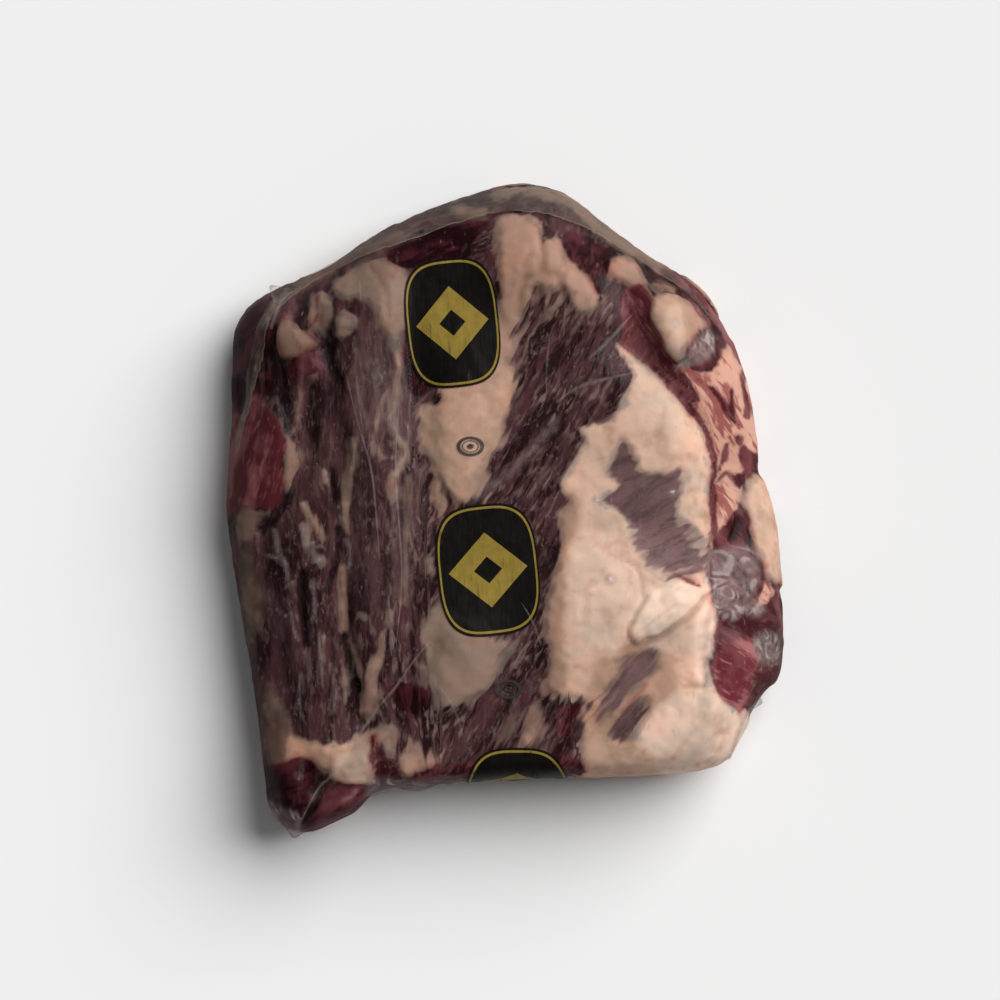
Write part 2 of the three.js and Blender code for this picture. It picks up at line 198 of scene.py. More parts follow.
# Narrow runs of fat: half width, stain and path
FAT_RUNS = {
    "strip": (2.0, 0.45, [(-53, 81), (-54, 69), (-55, 56), (-57, 45), (-54, 39), (-49, 32), (-50, 25),
        (-54, 17), (-56, 7)]),
    "branch": (1.1, 0.4, [(-59, 59), (-63, 50), (-65, 36), (-62, 28), (-55, 26)]),
    "long_strip": (1.5, 0.6, [(-48, 16), (-47, 3), (-49, -14), (-50, -32), (-50, -45)]),
    "nodule": (3.2, 0.3, [(-33, 14), (-34, 8), (-31, 2)]),
    "tan": (2.2, 0.36, [(-75, 36), (-75, 28), (-79, 12), (-79, 0), (-79, -10)]),
    "tan_2": (2.0, 0.36, [(-100, 4), (-97, -2), (-91, -13)]),
    "pale": (1.5, 0.5, [(-100, -7), (-97, -17), (-95, -22), (-90, -25)]),
    "tan_3": (2.0, 0.42, [(-81, -28), (-80, -38), (-81, -58)]),
    "tan_4": (2.0, 0.45, [(-79, -66), (-76, -73), (-74, -81)]),
    "pale_2": (1.2, 0.5, [(-90, -62), (-90, -74)]),
    "pale_3": (1.0, 0.5, [(-82, -73), (-79, -84), (-79, -94)]),
    "pale_4": (1.2, 0.5, [(-49, -56), (-51, -67)]),
    "orange": (1.7, 0.7, [(5, -95), (0, -106), (-6, -117)]),
    "orange_2": (1.4, 0.6, [(69, -85), (61, -96)]),
    "tan_5": (1.5, 0.8, [(-102, 61), (-103, 52), (-105, 39)]),
    "tan_6": (3.9, 0.8, [(-95, 71), (-96, 67)]),
    "flap_edge": (2.2, 0.6, [(-120, 53), (-116, 42), (-109, 35)]),
    "shoulder": (1.3, 0.6, [(-126, 95), (-120, 101), (-116, 104)]),
    "shoulder_2": (1.2, 0.6, [(-129, 89), (-123, 91), (-117, 93)]),
    "rim": (3.5, 0.5, [(-4, 158), (7, 160), (20, 158), (35, 153), (47, 142), (62, 131), (77, 121)]),
    "shoulder_fat": (4.0, 0.85, [(-101, 112), (-87, 122), (-72, 129), (-54, 136)]),
    "band_fat": (3.6, 0.55, [(-23, 149), (-12, 148)]),
    "corner_spot": (2.0, 0.4, [(-84, -146), (-81, -143)]),
    "lobe_fold": (1.2, 0.5, [(124, -72), (126, -79), (124, -87), (119, -93)]),
    "edge_tan": (1.5, 0.8, [(-118, 53), (-114, 44), (-110, 36)]),
    "nodule_2": (2.6, 0.5, [(-38, -25), (-37, -30)]),
    "knot": (1.5, 0.45, [(-57, -50), (-58, -54)]),
    "knot_2": (1.6, 0.5, [(-72, -51), (-70, -53)]),
    "speck": (1.1, 0.1, [(-89, 19), (-88, 16)]),
}

# Red seams across the fat: half width and path
RED_RUNS = {
    "seam": (1.6, [(67, 78), (77, 69), (87, 56), (96, 45), (101, 36), (104, 22), (103, 2), (105, -18),
        (104, -36), (107, -52), (105, -68)]),
    "strip": (3.6, [(64, 96), (70, 85), (79, 74), (88, 64), (93, 57)]),
    "line": (0.9, [(84, -32), (90, -34), (95, -36)]),
    "slope_line": (1.1, [(95, 66), (105, 57), (112, 48), (117, 42)]),
    "slope_spot": (1.6, [(112, 59), (113, 47)]),
    "slope_edge": (1.5, [(112, 83), (117, 75), (119, 65), (121, 57), (121, 48)]),
    "slope_hook": (1.2, [(110, 33), (108, 26), (106, 21)]),
    "slope_hook_2": (1.1, [(105, 15), (110, 20), (113, 17)]),
    "slope_dot": (1.6, [(116, 36), (117, 34)]),
    "wedge": (0.9, [(-65, -112), (-65, -124), (-63, -134)]),
}

# Faint blood under the fat, and pink or orange spots: how near it comes to red muscle in mm, and path
PINK_RUNS = {
    "lobe": (0.2, [(-111, 96), (-105, 96), (-99, 90), (-94, 84)]),
    "lobe_back": (-0.8, [(-108, 92), (-104, 86), (-101, 80)]),
    "lobe_2": (0.4, [(-93, 106), (-92, 97), (-95, 92)]),
    "lobe_2_back": (-0.4, [(-89, 101), (-90, 92)]),
    "lobe_3": (0.0, [(-82, 97), (-75, 95)]),
    "lobe_3_back": (-0.8, [(-82, 91), (-77, 91)]),
    "finger": (-0.6, [(51, 120), (56, 115), (62, 112)]),
    "knob": (0.5, [(88, 108), (94, 102), (101, 95), (101, 88)]),
    "slope_top": (-1.8, [(98, 68), (107, 66), (112, 76), (114, 86)]),
    "knob_foot": (0.1, [(70, 100), (73, 90), (78, 79)]),
    "spot": (-2.6, [(67, 68), (69, 66)]),
    "spot_2": (-2.8, [(80, 57), (83, 54)]),
    "spot_3": (-2.6, [(78, 31), (81, 28)]),
    "spot_4": (-1.2, [(90, -79), (93, -80)]),
    "spot_5": (-0.6, [(94, -124), (96, -127)]),
    "star_foot": (0.4, [(88, -26), (95, -26), (101, -31)]),
    "star_foot_2": (-0.6, [(90, -10), (97, -17), (102, -18)]),
    "low_branch": (-1.8, [(66, -113), (80, -121), (96, -128)]),
    "low_branch_2": (-2.2, [(84, -106), (97, -112), (108, -108)]),
    "low_branch_3": (-2.0, [(60, -122), (70, -117), (72, -106)]),
    "slit": (-0.8, [(69, -85), (64, -92), (58, -99)]),
    "cream": (-2.5, [(-87, -119), (-85, -127), (-80, -134)]),
    "cream_2": (-2.4, [(-68, -114), (-70, -126), (-66, -134)]),
    "crown": (-2.4, [(5, 133), (9, 127)]),
    "crown_2": (-2.0, [(37, 92), (36, 84), (31, 73)]),
    "seam": (-2.4, [(-57, 118), (-53, 112)]),
    "ridge": (-2.6, [(62, -64), (67, -60), (72, -56)]),
}

# Open folds and grooves, which sink and are painted nearly black as painted shade: half width and path
SHADED_FOLDS = {
    "lobes": (2.4, [(-101, 105), (-100, 98), (-99, 92)]),
    "groove": (2.2, [(-89, 81), (-87, 72), (-83, 64)]),
    "band_foot": (1.9, [(-115, 91), (-116, 82)]),
    "band_foot_2": (3.2, [(-116, 77), (-113, 66), (-110, 54), (-107, 43)]),
    "left_rim": (2.5, [(-132, 64), (-132, 50)]),
    "left_slit": (2.2, [(-101, -31), (-101, -49), (-99, -66)]),
    "groove_2": (1.6, [(-83, -9), (-84, -24), (-88, -40)]),
    "groove_3": (1.2, [(-86, 20), (-85, 5)]),
    "groove_4": (1.7, [(-81, -62), (-78, -74), (-74, -89)]),
    "corner_fold": (2.0, [(-91, -135), (-95, -143), (-101, -157)]),
    "curl": (1.6, [(116, -5), (113, -14)]),
    "knob_edge": (0.8, [(89, 111), (97, 104), (103, 96), (105, 88)]),
    "flap_foot": (1.6, [(-108, 7), (-113, -2), (-121, -10)]),
    "star_gap": (1.0, [(-81, -10), (-80, -20)]),
}

# Seams between lobes of fat, which sink a little and are painted soft brown as painted shade: half width and
# path
SHADED_FAT_SEAMS = {
    "fold_left": (0.5, [(70, -42), (66, -48), (63, -54), (61, -60), (64, -66)]),
    "fold_foot": (1.1, [(66, -67), (71, -64), (76, -63), (81, -60), (87, -56), (93, -50), (98, -43)]),
    "beside_star": (0.6, [(60, -24), (66, -30), (68, -42)]),
    "crown": (0.9, [(18, 138), (18, 126), (17, 118)]),
    "crown_2": (0.9, [(10, 115), (7, 105), (6, 97)]),
    "crown_3": (1.0, [(26, 116), (27, 111), (28, 107)]),
    "crown_arc": (0.6, [(9, 121), (12, 127), (16, 125), (17, 120)]),
    "top_seam": (0.9, [(-66, 122), (-61, 110), (-58, 96)]),
    "lobe": (0.6, [(-105, 92), (-99, 84)]),
    "tan_line": (0.5, [(88, -86), (98, -86)]),
}

# Lobes that stand out of the fat by some millimetres: whole patches, and outlines of their own
RAISED_PATCHES = {"left_lobe": 1.3, "left_lobe_2": 1.0, "left_lobe_3": 1.0, "right_knob": 1.2,
                  "right_finger": 0.9, "right_side": 1.0, "bottom_cream": 0.8}
RAISED_LOBES = {
    "fold": (1.3, [(70, -40), (66, -48), (63, -54), (61, -61), (65, -65), (69, -62), (75, -61), (80, -58),
        (86, -54), (91, -49), (96, -43), (101, -38), (92, -35), (80, -36)]),
    "ridge": (1.2, [(100, -38), (104, -39), (105, -56), (104, -72), (103, -86), (98, -84), (99, -60)]),
    "crown": (0.9, [(-2, 146), (16, 145), (17, 134), (16, 118), (9, 114), (7, 100), (3, 92), (-3, 104),
        (-3, 122)]),
    "crown_2": (0.9, [(20, 136), (26, 135), (31, 127), (30, 122), (25, 117), (20, 118)]),
    "crown_lobe": (1.2, [(28, 114), (33, 120), (42, 114), (46, 107), (48, 101), (44, 98), (36, 97),
        (30, 104)]),
    "crown_toe": (0.8, [(10, 112), (15, 113), (14, 104), (12, 96), (9, 98), (8, 106)]),
    "crown_toe_2": (0.8, [(18, 112), (25, 114), (27, 106), (24, 97), (20, 97), (18, 104)]),
}

# Where the fat is paler, below 0, or duller than its patch
FAT_TINTS = {
    "left_rim": (0.36, [(14, -92), (16, -59), (24, -17), (30, 5), (36, 6), (33, -18), (27, -60),
        (28, -90)]),
    "fold": (-0.3, [(70, -40), (66, -48), (63, -56), (66, -62), (80, -57), (92, -47), (98, -38),
        (84, -36)]),
    # ridge: a painted highlight along the ridge's crest
    "ridge": (-0.5, [(97, -38), (106, -38), (107, -84), (97, -92)]),
    "slits": (0.25, [(50, -66), (66, -68), (84, -74), (80, -92), (60, -112), (44, -104), (44, -80)]),
    # knob: a painted highlight in the knob's middle
    "knob": (-0.24, [(79, 100), (86, 99), (88, 84), (84, 75), (80, 82)]),
    "near_star": (-0.1, [(30, -20), (46, -14), (62, -40), (56, -70), (34, -60)]),
}

# Where the fat frays into the lean along its fibres: how far in mm, and where
PLAIN_FRAY = 1.0
FRAYED_PLACES = {
    "crown": (5.5, [(0, 104), (27, 109), (53, 104), (47, 82), (27, 55), (7, 20), (-7, -4), (-32, -4),
        (-17, 20), (5, 45), (2, 80)]),
    "centre": (5.0, [(-42, -39), (12, -39), (16, -60), (14, -93), (-37, -103)]),
    "star_foot": (4.5, [(60, -6), (98, -6), (98, -34), (60, -34)]),
    "slits": (3.5, [(35, -64), (80, -64), (80, -116), (35, -116)]),
    "near_edge": (4.0, [(-62, -88), (40, -88), (40, -133), (-62, -133)]),
    "left_seams": (1.6, [(-110, 60), (-45, 60), (-42, -100), (-110, -100)]),
}

STAR_PLACE = [(45, 42), (96, 40), (98, -34), (60, -34), (43, 10)]
STAR_FOOT_PLACE = [(66, -12), (100, -6), (104, -34), (68, -34)]
SLITS_PLACE = [(40, -64), (80, -64), (80, -116), (40, -116)]

# Where the lean is paler, dried grey-mauve under the film: how much, and where
PALE_LEAN = {
    "star": (0.75, STAR_PLACE),
    "star_foot": (1.0, STAR_FOOT_PLACE),
    "slits": (0.6, SLITS_PLACE),
    "upper_left": (0.25, [(-72, 90), (-46, 84), (-46, 30), (-72, 30)]),
    "left_middle": (0.1, [(-80, 30), (-46, 30), (-44, -40), (-82, -40)]),
}

# How far the lean is streaked and marbled: 0 is smooth, wet muscle
PLAIN_MARBLING = 0.25
MARBLED_PLACES = {
    "centre": (0.7, [(-44, 120), (50, 120), (45, -60), (-44, -60)]),
    "lower_centre": (0.8, [(-60, -60), (45, -60), (45, -135), (-60, -135)]),
    "star": (0.3, STAR_PLACE),
    "star_foot": (0.8, STAR_FOOT_PLACE),
    "slits": (0.3, SLITS_PLACE),
    "left_of_centre": (0.6, [(-80, 0), (-44, 0), (-44, -80), (-76, -80)]),
    "upper_left": (0.4, [(-72, 90), (-46, 84), (-46, 20), (-72, 20)]),
}

# Which way the muscle fibres run, in degrees from x, by place
FIBRES_LEFT = 92.0
FIBRES_CENTRE = 62.0
FIBRE_ZONES = {
    "star": (27.0, [(45, 45), (100, 40), (104, -45), (45, -40)]),
    "slits": (50.0, [(40, -60), (105, -60), (105, -125), (40, -125)]),
    "right_slope": (-58.0, [(62, 125), (140, 125), (145, -45), (104, -45), (103, 40), (74, 76)]),
    "lower_right": (-30.0, [(100, -48), (145, -48), (145, -110), (104, -105)]),
    "top": (20.0, [(-70, 118), (-15, 118), (-5, 165), (-80, 150)]),
    "left_shoulder": (60.0, [(-150, 75), (-105, 75), (-105, 125), (-150, 125)]),
    "flap": (75.0, [(-150, 62), (-108, 58), (-106, 2), (-150, -10)]),
    "corner": (25.0, [(-125, -124), (-55, -124), (-55, -170), (-125, -170)]),
}
MUSCLE_BORDER = [(-46, 170), (-46, 40), (-40, 0), (-38, -60), (-30, -100), (-38, -170)]

# The clear bag: shapes are a haze and an outline, in which the film stands off the meat
HAZY_PATCHES = {
    "air_pocket": (0.6, [(98, 90), (103, 87), (103, 79), (98, 74), (92, 72), (86, 69), (84, 72), (89, 76),
        (92, 82)]),
    "swirl": (0.52, [(102, -21), (112, -18), (123, -20), (127, -31), (122, -44), (113, -54), (104, -50),
        (101, -36)]),
    "swirl_2": (0.55, [(118, -44), (127, -43), (129, -50), (121, -53)]),
    "cheek": (0.42, [(123, -62), (132, -60), (137, -66), (134, -76), (125, -75)]),
    "tip": (0.55, [(-119, -145), (-109, -147), (-101, -153), (-102, -166), (-118, -162)]),
    "web": (0.5, [(-68, -132), (-45, -133), (-22, -131), (-20, -136), (-45, -140), (-66, -143)]),
}

# Painted highlights on the film: soft pale streaks and glints of reflected light, painted into its veil:
# strength, half width and path
PAINTED_FILM_HIGHLIGHTS = {
    "left_haze": (0.42, 1.4, [(-114, -10), (-112, -20), (-108, -27)]),
    "left_haze_2": (0.34, 1.1, [(-117, -22), (-110, -25), (-107, -33)]),
    "left_curl": (0.46, 0.9, [(-101, -7), (-98, -18), (-95, -24), (-90, -24)]),
    "left_curl_2": (0.42, 0.8, [(-95, -16), (-89, -18)]),
    "left_tick": (0.4, 0.6, [(-109, -38), (-105, -35)]),
    "left_tick_2": (0.36, 0.6, [(-113, -49), (-108, -52)]),
    "left_bar": (0.3, 0.9, [(-106, -50), (-104, -60), (-102, -64)]),
    "left_bar_2": (0.32, 0.9, [(-92, -60), (-91, -72), (-90, -80)]),
    "left_bar_3": (0.28, 1.0, [(-95, -34), (-94, -46), (-95, -54)]),
    "low_bar": (0.28, 0.9, [(-101, -80), (-102, -94), (-100, -102)]),
    "low_bar_2": (0.26, 0.9, [(-86, -76), (-84, -90), (-85, -100)]),
    "groove_haze": (0.34, 1.3, [(-78, -14), (-76, -22), (-77, -28)]),
    "middle_line": (0.2, 0.7, [(-74, 86), (-73, 64), (-69, 46), (-64, 25)]),
    "middle_haze": (0.12, 5.0, [(-64, 74), (-61, 58), (-56, 44)]),
    "middle_line_2": (0.22, 0.7, [(-57, 44), (-53, 20), (-55, -6), (-58, -20)]),
    "print_line": (0.22, 0.7, [(-59, -2), (-54, -22), (-58, -48)]),
    "slope_haze": (0.16, 3.0, [(-16, 6), (8, 24), (24, 44)]),
    "right_glint": (0.4, 2.2, [(80, 82), (85, 77), (88, 74)]),
    "ridge_glint": (0.22, 1.0, [(103, -34), (104, -50), (103, -66)]),
    "fold_glint": (0.25, 0.9, [(60, -62), (65, -60), (74, -53), (84, -46)]),
    "rim_glint": (0.4, 1.4, [(127, -93), (118, -104), (112, -122)]),
    "fat_glint": (0.6, 2.6, [(52, -33), (52.4, -34)]),
    "fat_glint_2": (0.75, 1.7, [(82, 9.6), (83, 9.4)]),
    "fat_glint_3": (0.6, 1.9, [(45, 6), (46, 5.4)]),
    "knob_glint": (0.55, 2.0, [(84, 94), (84.5, 92.5)]),
    "band_glint": (0.4, 1.8, [(-119, 92), (-115, 101), (-109, 108)]),
    "band_line": (0.26, 1.4, [(-133, 36), (-127, 56), (-122, 78)]),
}

# The sealed end of the bag, folded down on the far shoulder: its free edge, and how far it reaches out
FIN_EDGE = [(-136, 4, 4), (-133, 22, 4.5), (-128, 42, 6), (-123, 62, 7), (-119, 78, 7.5), (-115, 95, 8),
            (-101, 109, 13), (-84, 119, 15), (-64, 128, 17), (-52, 131, 18), (-42, 135, 20),
            (-32, 139, 22), (-20, 143, 24), (-8, 146, 25), (12, 147, 26), (27, 144, 25), (47, 136, 22),
            (59, 128, 20), (72, 120, 17), (86, 110, 12), (99, 98, 8), (107, 87, 4)]
FIN_STATIONS = 220
FIN_COLUMNS = 14

# Pinched creases in the film: width, height and path
CREASES = {
    "shoulder_fold": (4.6, 0.9, [(-102, 111), (-109, 106), (-113, 99), (-116, 90)]),
    "crown_fold": (2.4, 0.7, [(42, 139), (47, 137), (52, 134)]),
    "right_streak": (3.6, 0.5, [(63, 97), (57, 91), (50, 83), (41, 75)]),
    "right_arc": (3.2, 0.35, [(27, 55), (34, 60), (45, 64), (62, 68)]),
    "long_diagonal": (2.8, 0.42, [(-37, -64), (-46, -75), (-55, -88), (-62, -96), (-69, -106), (-80, -121),
        (-86, -131), (-93, -138), (-102, -155)]),
    "left_pleat_2": (1.8, 0.25, [(-78, 65), (-73, 45), (-66, 20), (-63, -9), (-62, -24)]),
    "left_low_pleat": (3.2, 0.3, [(-92, -62), (-91, -75), (-90, -88)]),
    "middle_pleat": (1.5, 0.2, [(-52, 60), (-54, 20), (-51, -30), (-54, -70)]),
}

# Round-cornered printed badges: centre, width, height and turn in degrees
BADGES = {
    "upper": ((-26, 93), 46, 64, 6),
    "middle": ((-8.4, -29), 50, 65, 6),
}
LOWER_BADGE = ((6, -117), 50, 65)
STAMPS = {"upper": (-17, 32), "lower": (1.5, -88)}
STAMP_SIZE = (14, 10)

# Flat ears where the bag's corners are drawn out: foot, tip, width and height
EARS = {
    "left": ((-103, -150), (-106, -164), 20, 14),
    "right": ((122, -94), (128.8, -96), 12, 20),
    "lower_right": ((105, -120), (113.4, -123), 14, 20),
}
# Thin webs of film along the near edge and at the far corner, in the same way
EDGE_WEBS = {"near": ((-43.3, -130.0), (-41.9, -139.6), 52, 26),
             "far_corner": ((-107, 103), (-117, 112), 13, 40)}


# Numbers and fields


def rise(low, high, value):
    """0 below low, 1 above high, and smooth between them."""
    share = np.clip((value - low) / (high - low), 0.0, 1.0)
    return share * share * (3.0 - 2.0 * share)


LATTICE = 32


def soft_noise(points, size, seed):
    """Noise from -1 to 1 with lumps about that size, the same on every run."""
    lattice = np.random.default_rng(seed).uniform(-1.0, 1.0, (LATTICE, LATTICE, LATTICE))
    cell = points / size
    if points.shape[1] == 2:
        cell = np.column_stack([cell, np.zeros(len(cell))])
    low = np.floor(cell).astype(int)
    part = cell - low
    part = part * part * (3.0 - 2.0 * part)
    total = np.zeros(len(points))
    for corner in itertools.product((0, 1), repeat=3):
        at = (low + corner) % LATTICE
        weight = np.where(corner, part, 1.0 - part).prod(1)
        total += weight * lattice[at[:, 0], at[:, 1], at[:, 2]]
    return total


def noise_of(points, layers):
    """Layers of noise in one, each a strength, a size of lump and a seed."""
    return sum(strength * soft_noise(points, size, seed) for strength, size, seed in layers)


def smooth_run(points, closed, steps=5):
    """A curve through the points, with that many steps between two of them."""
    p = np.array(points, float)
    if closed:
        p = np.vstack([p[-1], p, p[:2]])
    else:
        p = np.vstack([2 * p[0] - p[1], p, 2 * p[-1] - p[-2]])
    t = (np.arange(steps) / steps)[:, None]
    runs = []
    for a, b, c, d in zip(p[:-3], p[1:-2], p[2:-1], p[3:]):
        runs.append(0.5 * (2 * b + (c - a) * t + (2 * a - 5 * b + 4 * c - d) * t**2
                           + (3 * b - a - 3 * c + d) * t**3))
    if not closed:
        runs.append(p[-2:-1])
    return np.vstack(runs)


# Depths are worked out no further than this from an outline
FAR = 16.0
TINY = 1e-9


def near_box(plan, curve):
    return np.flatnonzero(((plan > curve.min(0) - FAR) & (plan < curve.max(0) + FAR)).all(1))


def distance_to(points, starts, ends):
    """The distance of each point to the nearest of the straight pieces."""
    along = ends - starts
    to_point = points[:, None, :] - starts
    share = np.clip((to_point * along).sum(2) / np.maximum((along**2).sum(1), TINY), 0.0, 1.0)
    return np.linalg.norm(to_point - share[..., None] * along, axis=2).min(1)


def depth_inside(plan, outline):
    """How deep each plan point lies inside the outline, negative outside it, in mm."""
    curve = smooth_run(outline, True)
    depth = np.full(len(plan), -FAR)
    near = near_box(plan, curve)
    points, ends = plan[near], np.roll(curve, -1, 0)
    distance = distance_to(points, curve, ends)
    x, y = points[:, :1], points[:, 1:]
    crosses = (curve[:, 1] > y) != (ends[:, 1] > y)
    climb = ends[:, 1] - curve[:, 1]
    climb = np.where(np.abs(climb) < TINY, TINY, climb)
    at = curve[:, 0] + (y - curve[:, 1]) * (ends[:, 0] - curve[:, 0]) / climb
    inside = (crosses & (x < at)).sum(1) % 2 == 1
    depth[near] = np.where(inside, distance, -distance)
    return np.maximum(depth, -FAR)


def depth_in_run(plan, half_width, path):
    """The same for a run of that half width along a path."""
    curve = smooth_run(path, False)
    depth = np.full(len(plan), -FAR)
    near = near_box(plan, curve)
    depth[near] = half_width - distance_to(plan[near], curve[:-1], curve[1:])
    return np.maximum(depth, -FAR)


def turned(plan, degrees):
    """Each point's place along and across a direction."""
    angle = math.radians(degrees)
    along = plan[:, 0] * math.cos(angle) + plan[:, 1] * math.sin(angle)
    across = plan[:, 1] * math.cos(angle) - plan[:, 0] * math.sin(angle)
    return np.column_stack([along, across])


# Help with meshes


def points_of(piece):
    flat = np.zeros(len(piece.data.vertices) * 3)
    piece.data.vertices.foreach_get("co", flat)
    return flat.reshape(-1, 3) / MM


def normals_of(piece):
    flat = np.zeros(len(piece.data.vertices) * 3)
    piece.data.vertex_normals.foreach_get("vector", flat)
    return flat.reshape(-1, 3)


def edges_of(piece):
    flat = np.zeros(len(piece.data.edges) * 2, dtype=np.int32)
    piece.data.edges.foreach_get("vertices", flat)
    return flat.reshape(-1, 2)


def put_points(piece, points):
    piece.data.vertices.foreach_set("co", (points * MM).ravel())
    piece.data.update()


def spread(values, edges, times, share=0.6):
    """Evens out a value or place at each vertex towards its neighbours."""
    flat = values.ndim == 1
    values = values[:, None] if flat else values.copy()
    count = np.bincount(edges.ravel(), minlength=len(values))[:, None]
    for _ in range(times):
        total = np.empty_like(values)
        for column in range(values.shape[1]):
            one = values[:, column]
            total[:, column] = (np.bincount(edges[:, 0], one[edges[:, 1]], len(one))
                                + np.bincount(edges[:, 1], one[edges[:, 0]], len(one)))
        values = values + share * (total / count - values)
    return values[:, 0] if flat else values


def keep_value(piece, name, values):
    """Stores a number or a vector at each vertex, for a material to read."""
    kind = "FLOAT" if values.ndim == 1 else "FLOAT_VECTOR"
    layer = piece.data.attributes.new(name, kind, "POINT")
    layer.data.foreach_set("value" if values.ndim == 1 else "vector", values.ravel())


def select_only(piece):
    bpy.ops.object.select_all(action="DESELECT")
    piece.select_set(True)
    bpy.context.view_layer.objects.active = piece


def apply_modifier(piece, kind, **settings):
    select_only(piece)
    modifier = piece.modifiers.new(kind.lower(), kind)
    for name, value in settings.items():
        setattr(modifier, name, value)
    bpy.ops.object.modifier_apply(modifier=modifier.name)


def new_piece(name, points, faces):
    """A piece from its points in millimetres and its faces."""
    mesh = bpy.data.meshes.new(name)
    mesh.from_pydata((np.array(points, float) * MM).tolist(), [], faces)
    mesh.update()
    piece = bpy.data.objects.new(name, mesh)
    bpy.context.scene.collection.objects.link(piece)
    select_only(piece)
    bpy.ops.object.shade_smooth()
    return piece


def grid_faces(rows, columns, first=0, closed=False):
    faces = []
    for r in range(rows - 1):
        for c in range(columns if closed else columns - 1):
            a, b = first + r * columns + c, first + r * columns + (c + 1) % columns
            faces.append((a, b, b + columns, a + columns))
    return faces


def lay_uv(piece, uv):
    """Gives each corner of the mesh its vertex's place on the piece's own flat map."""
    layer = piece.data.uv_layers.new(name="flat_map")
    corner = np.zeros(len(piece.data.loops), dtype=np.int32)
    piece.data.loops.foreach_get("vertex_index", corner)
    layer.data.foreach_set("uv", np.array(uv, float)[corner].ravel())


def finish_piece(piece, material):
    piece.data.materials.clear()
    piece.data.materials.append(material)
    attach(piece, BODY)
    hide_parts(BAG)


# Help with materials


def ink(code):
    """An sRGB hex colour as linear light."""
    channels = [int(code[i:i + 2], 16) / 255 for i in (1, 3, 5)]
    light = [c / 12.92 if c <= 0.04045 else ((c + 0.055) / 1.055) ** 2.4 for c in channels]
    return (*light, 1.0)


def new_material(name):
    """An empty material, and the function that adds its nodes."""
    material = bpy.data.materials.new(name)
    material.use_nodes = True
    tree = material.node_tree
    tree.nodes.clear()

    def add(kind, inputs=None, **settings):
        """Adds a node with its settings, and fills its sockets with values or links. Gives its output."""
        made = tree.nodes.new("ShaderNode" + kind)
        for setting, value in settings.items():
            setattr(made, setting, value)
        for socket, value in (inputs or {}).items():
            if isinstance(value, bpy.types.NodeSocket):
                tree.links.new(value, made.inputs[socket])
            else:
                made.inputs[socket].default_value = value
        return next((output for output in made.outputs if output.enabled), None)

    return material, add


# A MapRange with soft ends
SOFT = {"interpolation_type": "SMOOTHSTEP"}
WHITE = (1.0, 1.0, 1.0, 1.0)
GLOSS_WHITE = (0.9, 0.9, 0.9, 1.0)


# The meat


def slab_mesh():
    """A smooth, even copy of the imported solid, without the fin's step and the ears."""
    piece = bpy.data.objects.new("meat_slab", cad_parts[BAG].data.copy())
    bpy.context.scene.collection.objects.link(piece)
    select_only(piece)
    bpy.ops.object.mode_set(mode="EDIT")
    bpy.ops.mesh.select_all(action="SELECT")
    bpy.ops.mesh.remove_doubles(threshold=WELD)
    bpy.ops.object.mode_set(mode="OBJECT")
    apply_modifier(piece, "REMESH", mode="VOXEL", voxel_size=VOXEL * MM, adaptivity=0)
    points, edges = points_of(piece), edges_of(piece)
    for foot, tip, width, height in EARS.values():
        foot, tip = np.array(foot, float), np.array(tip, float)
        reach = distance_to(points[:, :2], foot[None], tip[None])
        ear = (reach < width * EAR_REACH) & (np.abs(points[:, 2] - height) < EAR_BAND)
        for _ in range(EAR_ROUNDS):
            evened = spread(points, edges, EAR_SMOOTHING)
            points[ear] = evened[ear]
    points = spread(points, edges, REMESH_SMOOTHING)
    put_points(piece, points)
    select_only(piece)
    bpy.ops.object.shade_smooth()
    return piece, edges


def pattern_place(points, normals):
    """Where on the plan each point takes its pattern: under the widest line it mirrors the top's border."""
    plan = points[:, :2].copy()
    on_wall = rise(*WALL_NORMALS, normals[:, 2])
    drop = np.clip(WIDEST_HEIGHT - points[:, 2], 0.0, None) * on_wall * WALL_MIRROR
    radius = np.linalg.norm(plan, axis=1)
    plan *= (1.0 - drop / np.maximum(radius, NEAREST_RADIUS))[:, None]
    more_on_sides = 1.0 + SIDE_WANDER * rise(*SIDE_NORMALS, normals[:, 2])
    for axis in (0, 1):
        for (reach, size, seed), more in ((WANDER, more_on_sides), (FINE_WANDER, 1.0)):
            plan[:, axis] += reach * more * soft_noise(points, size, seed + axis)
    return plan


def fibre_places(plan):
    """Each point's place along and across the muscle fibres, in mm."""
    border = np.interp(plan[:, 1], [y for _, y in reversed(MUSCLE_BORDER)],
                       [x for x, _ in reversed(MUSCLE_BORDER)])
    fibres = np.where((plan[:, 0] < border)[:, None], turned(plan, FIBRES_LEFT),
                      turned(plan, FIBRES_CENTRE))
    for degrees, outline in FIBRE_ZONES.values():
        inside = depth_inside(plan, outline) > 0
        fibres[inside] = turned(plan[inside], degrees)
    return fibres


def deepest(plan, fields):
    """The greatest depth over some outlines or runs, and what the deepest one says beside its shape."""
    depth, said = np.full(len(plan), -FAR), np.zeros(len(plan))
    for value, found in fields:
        said = np.where(found > depth, value, said)
        depth = np.maximum(depth, found)
    return depth, said


PLACE_FADE = 4.0


def amount_in(plan, places, base=0.0):
    """A value that is the base outside all the places and fades to each place's own inside it."""
    amount = np.full(len(plan), base)
    for value, outline in places.values():
        share = rise(-PLACE_FADE, PLACE_FADE, depth_inside(plan, outline))
        amount = amount * (1.0 - share) + value * share
    return amount


def deepest_run(plan, runs):
    """The greatest depth inside some runs, each a half width and a path."""
    return deepest(plan, [(0, depth_in_run(plan, half, path)) for half, path in runs.values()])[0]


def insides(plan, patches):
    """What each patch says, with the depth inside its outline."""
    return [(said, depth_inside(plan, outline)) for said, outline in patches.values()]


STAIN_SOFTENING = 6
SHADE_SOFTENING = 4

# How bright red and pink runs are, and how stained the veined patches
RED_RUN_SHADE = 0.42
PINK_RUN_SHADE = 0.6
VEINED_STAIN = 0.12

